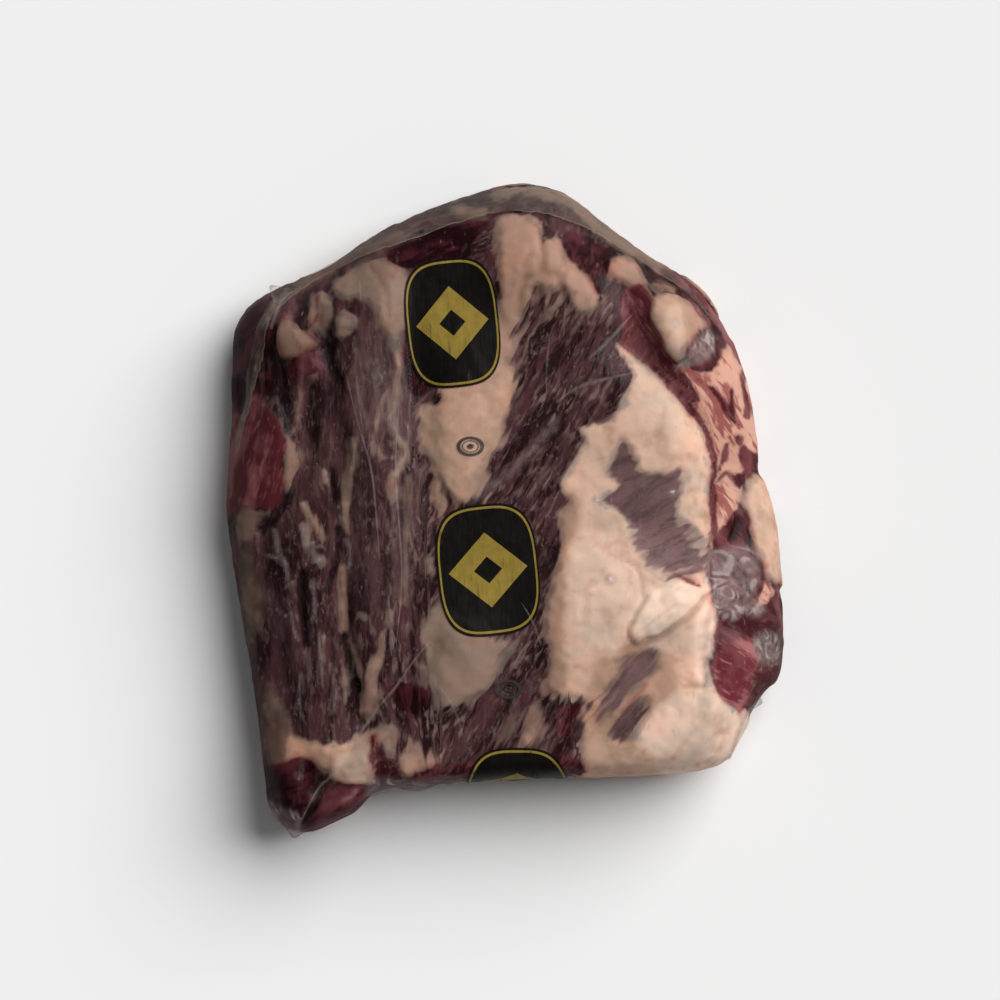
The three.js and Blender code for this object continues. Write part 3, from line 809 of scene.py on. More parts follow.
# The hidden underside: broad seams of fat, and how stained they are
UNDER_SEAMS = ((14.0, 46.0, 41), (6.0, 15.0, 42))
UNDER_SEAM_DEPTH = -2.5
UNDER_STAIN = 0.35
UNDER_RELIEF = 0.1

# Relief in mm: fat stands over the lean, folds sink, and both are lumpy
FAT_STANDS = 0.8
FAT_LUMPS = ((0.32, 9.0, 51), (0.192, 4.2, 52))
BUNDLE_RIDGES = (0.3, (1 / 38, 1 / 4.2), 53)
LEAN_SWELLS = ((0.5, 15.0, 55),)
ALL_LUMPS = ((0.22, 3.0, 54),)
FOLD_SINKS = 2.0
SEAM_SINKS = 0.5
# Over what depths inside its outline or run each of them rises or sinks
FAT_EDGE = (-1.0, 3.5)
FOLD_WALL = (-1.5, 1.8)
SEAM_WALL = (-1.8, 0.6)
LOBE_WALL = (-0.8, 2.4)


def make_meat():
    """The slab with its relief, and at each vertex the values that its material reads."""
    piece, edges = slab_mesh()
    points, normals = points_of(piece), normals_of(piece)
    plan = pattern_place(points, normals)
    fibres = fibre_places(plan)
    under = rise(*UNDERSIDE_HEIGHTS, points[:, 2]) * rise(*UNDERSIDE_NORMALS, normals[:, 2])
    below = np.column_stack([points[:, :2], np.zeros(len(points))])

    patches = insides(plan, FAT_PATCHES)
    patches += [(VEINED_STAIN, depth_inside(plan, outline)) for outline in VEINED_PATCHES.values()]
    patches += [(stain, depth_in_run(plan, width, path)) for width, stain, path in FAT_RUNS.values()]
    fat, stain = deepest(plan, patches)
    for outline in LEAN_WINDOWS.values():
        fat = np.minimum(fat, -depth_inside(plan, outline))
    wet = insides(plan, RED_PATCHES)
    for shade, runs in ((RED_RUN_SHADE, RED_RUNS), (PINK_RUN_SHADE, PINK_RUNS)):
        wet += [(shade, depth_in_run(plan, reach, path)) for reach, path in runs.values()]
    red, red_shade = deepest(plan, wet)
    veined, _ = deepest(plan, [(0, depth_inside(plan, outline)) for outline in VEINED_PATCHES.values()])
    on_top = rise(*TOP_NORMALS, normals[:, 2])
    # the depth in the folds, where they sink and are painted nearly black as painted shade
    dark = deepest_run(plan, SHADED_FOLDS) * on_top - FAR * (1.0 - on_top)
    # the depth in the fat seams, which sink and are painted brown as painted shade
    seam = deepest_run(plan, SHADED_FAT_SEAMS)
    fray = amount_in(plan, FRAYED_PLACES, PLAIN_FRAY)
    pale = amount_in(plan, PALE_LEAN)
    marbling = amount_in(plan, MARBLED_PLACES, PLAIN_MARBLING)

    # the underside's own pattern takes over from the top's
    stain = stain + amount_in(plan, FAT_TINTS)
    seams = noise_of(below, UNDER_SEAMS) + UNDER_SEAM_DEPTH
    hidden = ((fat, seams), (red, -FAR), (veined, -FAR), (stain, UNDER_STAIN))
    fat, red, veined, stain = (top * (1.0 - under) + own * under for top, own in hidden)
    stain, red_shade = spread(stain, edges, STAIN_SOFTENING), spread(red_shade, edges, SHADE_SOFTENING)

    over = rise(*FAT_EDGE, fat)
    strength, sizes, seed = BUNDLE_RIDGES
    ridges = strength * soft_noise(fibres * sizes, 1.0, seed) + noise_of(points, LEAN_SWELLS)
    height = (FAT_STANDS + noise_of(points, FAT_LUMPS)) * over + ridges * (1.0 - over)
    height -= FOLD_SINKS * rise(*FOLD_WALL, dark) + SEAM_SINKS * rise(*SEAM_WALL, seam)
    raised = [(extra, FAT_PATCHES[name][1]) for name, extra in RAISED_PATCHES.items()]
    for extra, outline in (*raised, *RAISED_LOBES.values()):
        height += extra * rise(*LOBE_WALL, depth_inside(plan, outline))
    height += noise_of(points, ALL_LUMPS)
    height *= 1.0 - (1.0 - UNDER_RELIEF) * under
    put_points(piece, points + normals * (height - FILM_ALLOWANCE)[:, None])

    fields = (fat, stain, red, red_shade, veined, dark, seam, fray, pale, marbling)
    for name, values in zip(MEAT_VALUES, fields):
        keep_value(piece, name, values)
    keep_value(piece, "fibres", np.column_stack([fibres, points[:, 2]]))
    return piece, edges


MEAT_VALUES = ("fat", "stain", "red", "red_shade", "veined", "dark", "seam", "fray", "pale", "marbling")


# Noise along the fibres: length and width of its lumps in mm, detail and twist
FIBRE_NOISES = {
    "swells": (30.0, 7.0, 0.0, 0.0),
    "bundles": (10.0, 2.2, 0.8, 0.0),
    "strands": (5.0, 1.2, 0.8, 0.0),
    "comb": (17.0, 3.0, 0.3, 0.0),
    "net": (6.5, 2.1, 0.5, 0.5),
    "specks": (2.6, 1.4, 0.5, 0.3),
    # sheen_streaks places the painted sheen, a painted highlight, on the lean
    "sheen_streaks": (13.0, 3.2, 1.0, 0.3),
}
# Even noise: size of its lumps in metres, and detail
EVEN_NOISES = {"mottle": (0.010, 2.0), "olive": (0.022, 2.0), "fine": (0.0022, 3.0)}
# The colours of fat from clean and pale to brown with blood, and where each lies on the way
PALEST_FAT = (0.04, "#edcdb8")
BROWNEST_FAT = (1.0, "#5d4a40")
FAT_BETWEEN = ((0.23, "#cfaa94"), (0.33, "#b5907a"), (0.55, "#a07b6a"), (0.62, "#897466"),
               (0.79, "#715146"))


# Raw beef: lean is dark wine-red where no air reaches it, and its bundles of fibre run in streaks with
# a pale net of marbling. Fat is cream, greyer where it thins out over the lean and pink beside the red
# muscle. Both are wet, and softly glossy under the film.
def beef():
    material, add = new_material("raw_beef")
    place = add("TexCoord").node.outputs["Object"]
    value = {name: add("Attribute", attribute_name=name).node.outputs["Fac"] for name in MEAT_VALUES}
    fibres = add("Attribute", attribute_name="fibres").node.outputs["Vector"]

    def moved(base, pattern, reach):
        """The base, pushed up and down by a pattern that is 0.5 in the middle."""
        push = add("Math", {0: pattern, 1: 0.5}, operation="SUBTRACT")
        return add("Math", {0: push, 1: reach, 2: base}, operation="MULTIPLY_ADD")

    # noise drawn out along the fibres
    drawn = []
    for length, width, detail, twist in FIBRE_NOISES.values():
        stretched = add("VectorMath", {0: fibres, 1: (1 / length, 1 / width, 1 / (3 * width))},
                        operation="MULTIPLY")
        drawn.append(add("TexNoise", {"Vector": stretched, "Scale": 1.0, "Detail": detail, "Roughness": 0.6,
                                      "Distortion": twist}))
    swells, bundles, strands, comb, net, specks, sheen_streaks = drawn
    mottle, olive, fine = (
        add("TexNoise", {"Vector": place, "Scale": 1 / size, "Detail": detail, "Roughness": 0.6})
        for size, detail in EVEN_NOISES.values())

    # lean: broad swells, bundles of 2 mm with finer strands in them, and blots of marbling
    grain = add("Math", {0: value["marbling"], 1: 0.9, 2: 0.12}, operation="MULTIPLY_ADD")
    tone = moved(swells, moved(bundles, strands, 0.6), grain)
    toned = add("MapRange", {"Value": tone, "From Min": 0.32, "From Max": 0.68}, **SOFT)
    lean = add("MixRGB", {"Fac": toned, "Color1": ink("#241214"), "Color2": ink("#482c2f")})
    in_groups = add("MapRange", {"Value": olive, "From Min": 0.38, "From Max": 0.60})
    # painted highlights: pale streaks of wet sheen along the fibres, in patches
    painted_sheen = add("MapRange", {"Value": moved(sheen_streaks, mottle, 0.5), "From Min": 0.54, "From Max": 0.84,
                             "To Max": 0.3}, **SOFT)
    bloom = add("MapRange", {"Value": tone, "From Min": 0.3, "From Max": 0.6, "To Min": 0.6})
    marbled = add("Math", {0: value["marbling"], 1: in_groups}, operation="MULTIPLY")
    blots = add("MapRange", {"Value": net, "From Min": 0.50, "From Max": 0.76}, **SOFT)
    specks = add("MapRange", {"Value": specks, "From Min": 0.58, "From Max": 0.76, "To Max": 0.34}, **SOFT)
    in_specks = add("MapRange", {"Value": mottle, "From Min": 0.42, "From Max": 0.58})
    bloom, blots, specks = (
        add("Math", {0: share, 1: where}, operation="MULTIPLY")
        for share, where in ((bloom, value["pale"]), (blots, marbled), (specks, in_specks)))
    # painted sheen of the wet meat (painted highlights), dried bloom, marbling and specks of fat
    for share, code in ((painted_sheen, "#7d6765"), (bloom, "#775c5b"), (blots, "#7c665f"), (specks, "#7e6862")):
        lean = add("MixRGB", {"Fac": share, "Color1": lean, "Color2": ink(code)})

    # red muscle, from nearly black at the far left to bright at the near right
    raw, raw_light = (add("MixRGB", {"Fac": value["red_shade"], "Color1": ink(dark), "Color2": ink(bright)})
                      for dark, bright in (("#1c080b", "#652a30"), ("#421a20", "#945a5c")))
    light = add("MapRange", {"Value": moved(tone, mottle, 0.6), "From Min": 0.36, "From Max": 0.70}, **SOFT)
    pink = add("MapRange", {"Value": net, "From Min": 0.54, "From Max": 0.80, "To Max": 0.6}, **SOFT)
    pink = add("Math", {0: pink, 1: value["red_shade"]}, operation="MULTIPLY")
    for share, coat in ((light, raw_light), (pink, ink("#a56d66"))):
        raw = add("MixRGB", {"Fac": share, "Color1": raw, "Color2": coat})
    is_red = add("MapRange", {"Value": moved(moved(value["red"], mottle, 4.0), bundles, 2.0),
                              "From Min": -0.9, "From Max": 0.9}, **SOFT)
    lean = add("MixRGB", {"Fac": is_red, "Color1": lean, "Color2": raw})

    # fat
    stained = add("MapRange", {"Value": value["stain"], "From Min": -0.3, "From Max": 1.0})
    cream = add("ValToRGB", {"Fac": moved(stained, mottle, 0.35)})
    ramp = cream.node.color_ramp
    for stop, (position, code) in zip(ramp.elements, (PALEST_FAT, BROWNEST_FAT)):
        stop.position = position
        stop.color = ink(code)
    for position, code in FAT_BETWEEN:
        ramp.elements.new(position).color = ink(code)
    greyer = add("MapRange", {"Value": olive, "From Min": 0.46, "From Max": 0.70, "To Max": 0.7})
    warmer = add("MapRange", {"Value": olive, "From Min": 0.46, "From Max": 0.25, "To Max": 0.8})
    # it lies in lobes of about 20 mm: billows of painted soft highlight and shade over uneven tone, and
    # painted shade in the crevice between lobes
    billow_shading = add("MapRange", {"Value": mottle, "From Min": 0.32, "From Max": 0.68, "To Min": 0.84,
                               "To Max": 1.13})
    bend = add("TexNoise", {"Vector": place, "Scale": 1 / 0.012, "Detail": 1.0}).node.outputs["Color"]
    bent = add("VectorMath", {0: bend, 1: (0.014, 0.014, 0.014), 2: place}, operation="MULTIPLY_ADD")
    lobes = add("TexVoronoi", {"Vector": bent, "Scale": 1 / 0.020}, feature="DISTANCE_TO_EDGE")
    lobes = add("MapRange", {"Value": lobes, "From Min": 0.0, "From Max": 0.30}, **SOFT)
    between = add("MapRange", {"Value": lobes, "From Min": 0.7, "From Max": 0.0})
    crevice_shade = add("MapRange", {"Value": mottle, "From Min": 0.42, "From Max": 0.62, "To Max": 0.3})
    crevice_shade = add("Math", {0: between, 1: crevice_shade}, operation="MULTIPLY")
    painted_seam_shade = add("MapRange", {"Value": moved(value["seam"], mottle, 1.5), "From Min": -1.6,
                               "From Max": 0.8, "To Max": 0.38}, **SOFT)
    # it thins out towards its edge, and frays along the fibres there
    edge_reach = add("Math", {0: value["fray"], 1: 0.5, 2: 3.6}, operation="MULTIPLY_ADD")
    thin = add("Math", {0: moved(value["fat"], mottle, 14.0), 1: edge_reach}, operation="DIVIDE")
    thin = add("MapRange", {"Value": thin, "From Min": 1.0, "From Max": 0.0, "To Max": 0.7}, **SOFT)
    # it blushes beside red muscle, less so where it is veined
    in_veined = add("MapRange", {"Value": value["veined"], "From Min": -2.0, "From Max": 1.5})
    blush = add("MapRange", {"Value": moved(value["red"], mottle, 7.0), "From Min": -2.9, "From Max": 0.4,
                             "To Max": 0.66}, **SOFT)
    calmer = add("MapRange", {"Value": in_veined, "From Min": 0.0, "From Max": 1.0, "To Min": 1.0,
                              "To Max": 0.4})
    blush = add("Math", {0: blush, 1: calmer}, operation="MULTIPLY")
    rosy = add("Math", {0: in_veined, 1: 0.42}, operation="MULTIPLY")
    veins = add("MapRange", {"Value": moved(moved(bundles, strands, 0.5), swells, 1.2), "From Min": 0.50,
                             "From Max": 0.24, "To Max": 0.8}, **SOFT)
    veins = add("Math", {0: veins, 1: in_veined}, operation="MULTIPLY")
    for share, coat, way in (
            (greyer, (0.67, 0.76, 0.77, 1.0), "MULTIPLY"), (warmer, (1.06, 0.92, 0.86, 1.0), "MULTIPLY"),
            (1.0, billow_shading, "MULTIPLY"), (crevice_shade, ink("#86685a"), "MIX"), (painted_seam_shade, ink("#87634f"), "MIX"),
            (thin, (0.42, 0.46, 0.55, 1.0), "MULTIPLY"), (blush, (0.70, 0.38, 0.42, 1.0), "MULTIPLY"),
            (rosy, ink("#d69a8a"), "MIX"), (veins, ink("#7f3338"), "MIX")):
        cream = add("MixRGB", {"Fac": share, "Color1": cream, "Color2": coat}, blend_type=way)
    fringe = add("Math", {0: value["fray"], 1: 4.0}, operation="MULTIPLY")
    fringe = moved(value["fat"], comb, fringe)
    softness = add("Math", {0: value["fray"], 1: 0.3, 2: 1.0}, operation="MULTIPLY_ADD")
    tatters = add("Math", {0: value["fray"], 1: 0.3}, operation="MULTIPLY")
    is_fat = add("Math", {0: moved(moved(fringe, strands, tatters), mottle, 3.0), 1: softness},
                 operation="DIVIDE")
    is_fat = add("MapRange", {"Value": is_fat, "From Min": -1.0, "From Max": 1.0}, **SOFT)
    not_red = add("Math", {0: 1.0, 1: is_red}, operation="SUBTRACT")
    covered = add("Math", {0: is_fat, 1: not_red}, operation="MULTIPLY")
    colour = add("MixRGB", {"Fac": covered, "Color1": lean, "Color2": cream})

    # painted shade: folds and grooves are painted nearly black
    painted_fold_shade = add("MapRange", {"Value": moved(value["dark"], strands, 5.0), "From Min": -1.1,
                               "From Max": 1.0, "To Max": 0.85})
    colour = add("MixRGB", {"Fac": painted_fold_shade, "Color1": colour, "Color2": ink("#150809")})

    fat_lobes = add("Math", {0: lobes, 1: is_fat}, operation="MULTIPLY")
    lobe_bump = add("Bump", {"Height": fat_lobes, "Strength": 0.1, "Distance": 0.0014})
    smooth = add("MapRange", {"Value": is_fat, "From Min": 0.0, "From Max": 1.0, "To Min": 1.0,
                              "To Max": 0.3})
    ribs = add("Math", {0: strands, 1: smooth}, operation="MULTIPLY")
    fibre_bump = add("Bump", {"Height": ribs, "Strength": 0.3, "Distance": 0.0006, "Normal": lobe_bump})
    grit = add("Math", {0: fine, 1: smooth}, operation="MULTIPLY")
    bump = add("Bump", {"Height": grit, "Strength": 0.35, "Distance": 0.0005, "Normal": fibre_bump})
    rough = add("MapRange", {"Value": fine, "From Min": 0.3, "From Max": 0.7, "To Min": 0.42,
                             "To Max": 0.6})
    shader = add("BsdfPrincipled", {"Base Color": colour, "Roughness": rough, "IOR": 1.15,
                                    "Specular IOR Level": 0.1, "Normal": bump})
    add("OutputMaterial", {"Surface": shader})
    return material


# The film


# How the film lies: its clearance, how tightly it spans furrows, and its ruffles over air, in mm
FILM_CLEARANCE = 0.35
FILM_SPANS = 45
GAP_SOFTENING = 3
AIR_EDGE = (-2.0, 2.5)
AIR_HEIGHTS = (5.0, 12.0)
AIR_RUFFLES = ((0.8, 5.0, 61),)
# Below these heights and normals the film lies flat under the pack
FLAT_HEIGHTS = (6.0, 2.5)
FLAT_NORMALS = (-0.6, -0.9)
LOWEST_FILM = 0.1


def make_film(meat, edges):
    """The bag lies on the meat and spans its furrows, like a skin drawn tight."""
    select_only(meat)
    bpy.ops.object.duplicate()
    piece = bpy.context.view_layer.objects.active
    piece.name = "clear_bag"
    piece.data.name = "clear_bag"
    for name in (*MEAT_VALUES, "fibres"):
        piece.data.attributes.remove(piece.data.attributes[name])
    points, normals = points_of(meat), normals_of(meat)
    drawn = spread(points, edges, FILM_SPANS)
    gap = ((drawn - points) * normals).sum(1)
    gap = spread(np.maximum(gap, 0.0), edges, GAP_SOFTENING)
    plan = points[:, :2]
    haze = np.zeros(len(points))
    for strength, outline in HAZY_PATCHES.values():
        haze = np.maximum(haze, strength * rise(*AIR_EDGE, depth_inside(plan, outline)))
    haze *= rise(*AIR_HEIGHTS, points[:, 2])
    # painted highlights along the listed runs, for the film's material to read
    painted_highlight = np.zeros(len(points))
    for strength, half, path in PAINTED_FILM_HIGHLIGHTS.values():
        painted_highlight = np.maximum(painted_highlight, strength * rise(-0.5 * half, half, depth_in_run(plan, half, path)))
    lift = FILM_CLEARANCE + gap + haze * (1.0 + noise_of(points, AIR_RUFFLES))
    placed = points + normals * lift[:, None]
    placed[:, 2] = np.maximum(placed[:, 2], LOWEST_FILM)
    flat_below = rise(*FLAT_NORMALS, normals[:, 2]) * rise(*FLAT_HEIGHTS, points[:, 2])
    placed[:, 2] = placed[:, 2] * (1.0 - flat_below) + LOWEST_FILM * flat_below
    put_points(piece, placed)
    for name, values in zip(FILM_VALUES, (haze, gap, painted_highlight)):
        keep_value(piece, name, values)
    return piece


FILM_VALUES = ("haze", "gap", "painted_highlight")


def glossed(add, shader, bump, ior, most, roughness):
    """A shader under a thin mirror coat that reflects no more than that share."""
    coat = add("BsdfGlossy", {"Color": GLOSS_WHITE, "Roughness": roughness, "Normal": bump})
    sheen = add("Fresnel", {"IOR": ior, "Normal": bump})
    sheen = add("Math", {0: sheen, 1: most}, operation="MINIMUM")
    return add("MixShader", {"Fac": sheen, 1: shader, 2: coat})


# Multilayer shrink film, blown and then shrunk in hot water: clear, glossy and finely wrinkled,
# with a grey veil wherever air or a fold keeps it off the meat, drawn into whorls.
def shrink_film():
    material, add = new_material("shrink_film")
    place = add("TexCoord").node.outputs["Object"]
    haze, gap, painted_highlight = (add("Attribute", attribute_name=name).node.outputs["Fac"] for name in FILM_VALUES)
    # wrinkles run along the bag, 2.5 mm apart and 30 mm long
    drawn = add("VectorMath", {0: place, 1: (1 / 0.0025, 1 / 0.03, 1 / 0.006)}, operation="MULTIPLY")
    wrinkles = add("TexNoise", {"Vector": drawn, "Scale": 1.0, "Detail": 1.0, "Roughness": 0.5,
                                "Distortion": 0.6})
    crumple = add("TexNoise", {"Vector": place, "Scale": 1 / 0.005, "Detail": 3.0, "Roughness": 0.6,
                               "Distortion": 0.6})
    bump = add("Bump", {"Height": wrinkles, "Strength": 0.35, "Distance": 0.0008})
    bump = add("Bump", {"Height": crumple, "Strength": 0.3, "Distance": 0.0006, "Normal": bump})
    # whorls are the level lines of a slow noise, about 5 mm apart
    swirl = add("TexNoise", {"Vector": place, "Scale": 1 / 0.020, "Detail": 0.0, "Distortion": 1.4})
    whorl = add("Math", {0: swirl, 1: 26.0}, operation="MULTIPLY")
    whorl = add("Math", {0: whorl}, operation="SINE")
    whorl = add("MapRange", {"Value": whorl, "From Min": -0.6, "From Max": 1.0}, **SOFT)
    # they come and go, over a thinner veil
    patchy = add("TexNoise", {"Vector": place, "Scale": 1 / 0.008, "Detail": 1.0})
    patchy = add("MapRange", {"Value": patchy, "From Min": 0.40, "From Max": 0.60, "To Min": 0.1}, **SOFT)
    whorl = add("Math", {0: whorl, 1: patchy}, operation="MULTIPLY")
    thinner = add("MapRange", {"Value": crumple, "From Min": 0.3, "From Max": 0.7, "To Min": 0.15,
                               "To Max": 0.6})
    whorl = add("Math", {0: whorl, 1: 0.75, 2: thinner}, operation="MULTIPLY_ADD")
    # the strongest painted highlights are glints, painted white
    glint_whiteness = add("MapRange", {"Value": painted_highlight, "From Min": 0.44, "From Max": 0.6})
    veil_and_glint_colour = add("MixRGB", {"Fac": glint_whiteness, "Color1": ink("#b5a39e"), "Color2": ink("#f6ece6")})
    veil = add("BsdfDiffuse", {"Color": veil_and_glint_colour, "Normal": bump})
    spanning = add("MapRange", {"Value": gap, "From Min": 0.5, "From Max": 2.5, "To Max": 0.02})
    hazy = add("Math", {0: haze, 1: whorl, 2: spanning}, operation="MULTIPLY_ADD")
    # painted highlights add to the veil, broken where the film crumples
    broken = add("MapRange", {"Value": crumple, "From Min": 0.35, "From Max": 0.62, "To Min": 0.35,
                              "To Max": 1.0})
    hazy = add("Math", {0: painted_highlight, 1: broken, 2: hazy}, operation="MULTIPLY_ADD")
    lines = add("MapRange", {"Value": wrinkles, "From Min": 0.62, "From Max": 0.74, "To Max": 0.04})
    hazy = add("Math", {0: hazy, 1: lines}, operation="ADD")
    # small creases catch the light as short pale flecks
    flecks = add("VectorMath", {0: place, 1: (1 / 0.0014, 1 / 0.005, 1 / 0.004)}, operation="MULTIPLY")
    flecks = add("TexNoise", {"Vector": flecks, "Scale": 1.0, "Detail": 1.0})
    flecks = add("MapRange", {"Value": flecks, "From Min": 0.64, "From Max": 0.78, "To Max": 0.2})
    creased = add("MapRange", {"Value": crumple, "From Min": 0.48, "From Max": 0.60})
    hazy = add("Math", {0: flecks, 1: creased, 2: hazy}, operation="MULTIPLY_ADD", use_clamp=True)
    clear = add("BsdfTransparent", {"Color": WHITE})
    mixed = add("MixShader", {"Fac": hazy, 1: clear, 2: veil})
    add("OutputMaterial", {"Surface": glossed(add, mixed, bump, 1.14, 0.008, 0.2)})
    return material


def surface_of(piece):
    """A search tree of a mesh, for laying other pieces on it."""
    mesh = piece.data
    return BVHTree.FromPolygons([v.co.copy() for v in mesh.vertices],
                                [tuple(face.vertices) for face in mesh.polygons])


RAY_START = 0.2


def drop_on(surface, x, y):
    """The place and normal straight below a plan point in mm, or None off the pack."""
    hit, normal, _, _ = surface.ray_cast(Vector((x * MM, y * MM, RAY_START)), Vector((0, 0, -1)))
    if hit is None:
        return None
    return np.array(hit) / MM, np.array(normal)


def lengths_along(places):
    """How far along a line of places each of them is."""
    return np.concatenate([[0.0], np.cumsum(np.linalg.norm(np.diff(places, axis=0), axis=1))])


PROFILE_RAYS = 60
RAY_LENGTH = 0.3


def profile(surface, core, outward, last=-20.0):
    """The pack's skin round a core point, from above it to outside it: places and run of length."""
    places = []
    for angle in np.linspace(90.0, last, PROFILE_RAYS):
        a = math.radians(angle)
        way = Vector((outward[0] * math.cos(a), outward[1] * math.cos(a), math.sin(a)))
        hit, _, _, _ = surface.ray_cast(Vector(core * MM) + way * RAY_LENGTH, -way)
        if hit is not None:
            places.append(np.array(hit) / MM)
    return np.array(places), lengths_along(places)


def placed_at(places, run, at):
    """The place at one or more lengths along a line of places."""
    return np.stack([np.interp(at, run, column) for column in places.T], axis=-1)


def on_profile(places, run, at):
    """The place at a length along a profile, and which way the profile runs there."""
    along = placed_at(places, run, at + 1.0) - placed_at(places, run, at - 1.0)
    return placed_at(places, run, at), along / max(np.linalg.norm(along), TINY)


def evenly(points, count, steps=12):
    """That many points along a curve, the same length apart."""
    curve = smooth_run(points, False, steps)
    run = lengths_along(curve)
    return placed_at(curve, run, np.linspace(0.0, run[-1], count))


# The height of the core points that profiles turn round, how far inside its free edge the fin's are,
# and how the fin stands off the skin, in mm
CORE_HEIGHT = 24.0
FIN_CORE_DEPTH = 26.0
FIN_RIPPLES = ((1.0, 9.0, 71), (0.6, 3.5, 72))
FIN_CRUMPLES = ((0.25, 5.0, 73),)
FIN_CLEARANCE = 0.45
FIN_EDGE_LIFT = 0.9
FIN_RIPPLE_LIFT = 0.5
FIN_SETTLES = 3.0
FIN_HUGS = 0.8


def make_fin(surface):
    """The doubled, folded end of the bag: its free edge stands a little off the shoulder."""
    stations = evenly(FIN_EDGE, FIN_STATIONS)
    edge, reaches = stations[:, :2], stations[:, 2]
    ahead = np.gradient(edge, axis=0)
    ahead /= np.linalg.norm(ahead, axis=1)[:, None]
    outward = np.column_stack([-ahead[:, 1], ahead[:, 0]])
    ripple = noise_of(edge, FIN_RIPPLES)
    points, uv = [], []
    for i in range(FIN_STATIONS):
        core = np.array([*(edge[i] - outward[i] * FIN_CORE_DEPTH), CORE_HEIGHT])
        places, run = profile(surface, core, outward[i])
        away = ((places[:, :2] - core[:2]) * outward[i]).sum(1)
        start = run[np.argmax(away >= FIN_CORE_DEPTH)]
        for c in range(FIN_COLUMNS):
            share = c / (FIN_COLUMNS - 1)
            place, along = on_profile(places, run, start + reaches[i] * share)
            ahead_out = (along[:2] * outward[i]).sum()
            off = np.array([-outward[i][0] * along[2], -outward[i][1] * along[2], ahead_out])
            off /= max(np.linalg.norm(off), TINY)
            inward = share * reaches[i]
            lift = (FIN_EDGE_LIFT + FIN_RIPPLE_LIFT * ripple[i]) * math.exp(-inward / FIN_SETTLES)
            lift += FIN_CLEARANCE + noise_of(np.array([[*edge[i], inward]]), FIN_CRUMPLES)[0]
            points.append(place + off * lift * (1.0 - FIN_HUGS * share**3))
            uv.append((i / FIN_STATIONS, inward))
    faces = [face[::-1] for face in grid_faces(FIN_STATIONS, FIN_COLUMNS)]
    piece = new_piece("seal_fin", points, faces)
    lay_uv(piece, uv)
    return piece


# The same film doubled and welded: greyer, stiffer, with a bright cut edge that is partly a painted
# highlight.
def welded_film():
    material, add = new_material("welded_film")
    place = add("TexCoord").node.outputs["Object"]
    flat = add("UVMap", uv_map="flat_map")
    reach = add("SeparateXYZ", {"Vector": flat}).node.outputs["Y"]
    crumple = add("TexNoise", {"Vector": place, "Scale": 1 / 0.006, "Detail": 4.0, "Roughness": 0.65,
                               "Distortion": 0.8})
    bump = add("Bump", {"Height": crumple, "Strength": 0.5, "Distance": 0.0009})
    veil = add("BsdfDiffuse", {"Color": ink("#8e8074"), "Normal": bump})
    # the cut edge is 0.7 mm wide and painted pale: partly the film's own edge, partly a painted highlight
    edge = add("MapRange", {"Value": reach, "From Min": 0.8, "From Max": 0.4, "To Max": 0.35})
    cloud = add("MapRange", {"Value": crumple, "From Min": 0.35, "From Max": 0.68, "To Min": 0.04,
                             "To Max": 0.2})
    veiled = add("Math", {0: cloud, 1: edge}, operation="ADD", use_clamp=True)
    clear = add("BsdfTransparent", {"Color": (0.87, 0.85, 0.83, 1.0)})
    mixed = add("MixShader", {"Fac": veiled, 1: clear, 2: veil})
    add("OutputMaterial", {"Surface": glossed(add, mixed, bump, 1.2, 0.025, 0.25)})
    return material


CREASE_STRENGTH = 0.62
CREASE_LIFT = 0.08
CREASES_IN_ALL = 20
CREASE_STATIONS = 40

# The small creases: how strong they show, and between what limits they are drawn.
# A turn is a mean and a spread in degrees, a bend is in radians a step, and the rest is in mm.
CREASE_SEED = 81
SMALL_CREASE_STRENGTH = 0.45
SMALL_CREASE_POINTS = 5
SMALL_CREASE_STATIONS = 14
SMALL_CREASES_X = (-120, 30)
SMALL_CREASES_Y = (-115, 110)
SMALL_CREASE_LENGTHS = (8, 30)
SMALL_CREASE_TURN = (94, 7)
SMALL_CREASE_BENDS = (-0.06, 0.06)
SMALL_CREASE_WIDTHS = (1.6, 2.6)
SMALL_CREASE_HEIGHTS = (0.08, 0.2)


def crease_paths():
    """The main creases, and small fainter ones that run with the bag's shrinkage."""
    paths = [(width, height, CREASE_STRENGTH, evenly(path, CREASE_STATIONS))
             for width, height, path in CREASES.values()]
    chance = np.random.default_rng(CREASE_SEED)
    while len(paths) < CREASES_IN_ALL:
        x, y = chance.uniform(*SMALL_CREASES_X), chance.uniform(*SMALL_CREASES_Y)
        length = chance.uniform(*SMALL_CREASE_LENGTHS)
        turn = math.radians(chance.normal(*SMALL_CREASE_TURN))
        bend = chance.uniform(*SMALL_CREASE_BENDS)
        path = []
        for k in range(SMALL_CREASE_POINTS):
            at, angle = length * k / (SMALL_CREASE_POINTS - 1), turn + bend * k
            path.append((x + math.cos(angle) * at, y + math.sin(angle) * at))
        width, height = chance.uniform(*SMALL_CREASE_WIDTHS), chance.uniform(*SMALL_CREASE_HEIGHTS)
        paths.append((width, height, SMALL_CREASE_STRENGTH, evenly(path, SMALL_CREASE_STATIONS)))
    return paths


CREASE_COLUMNS = 5
FEWEST_STATIONS = 6
STEEPEST_NORMAL = 0.25


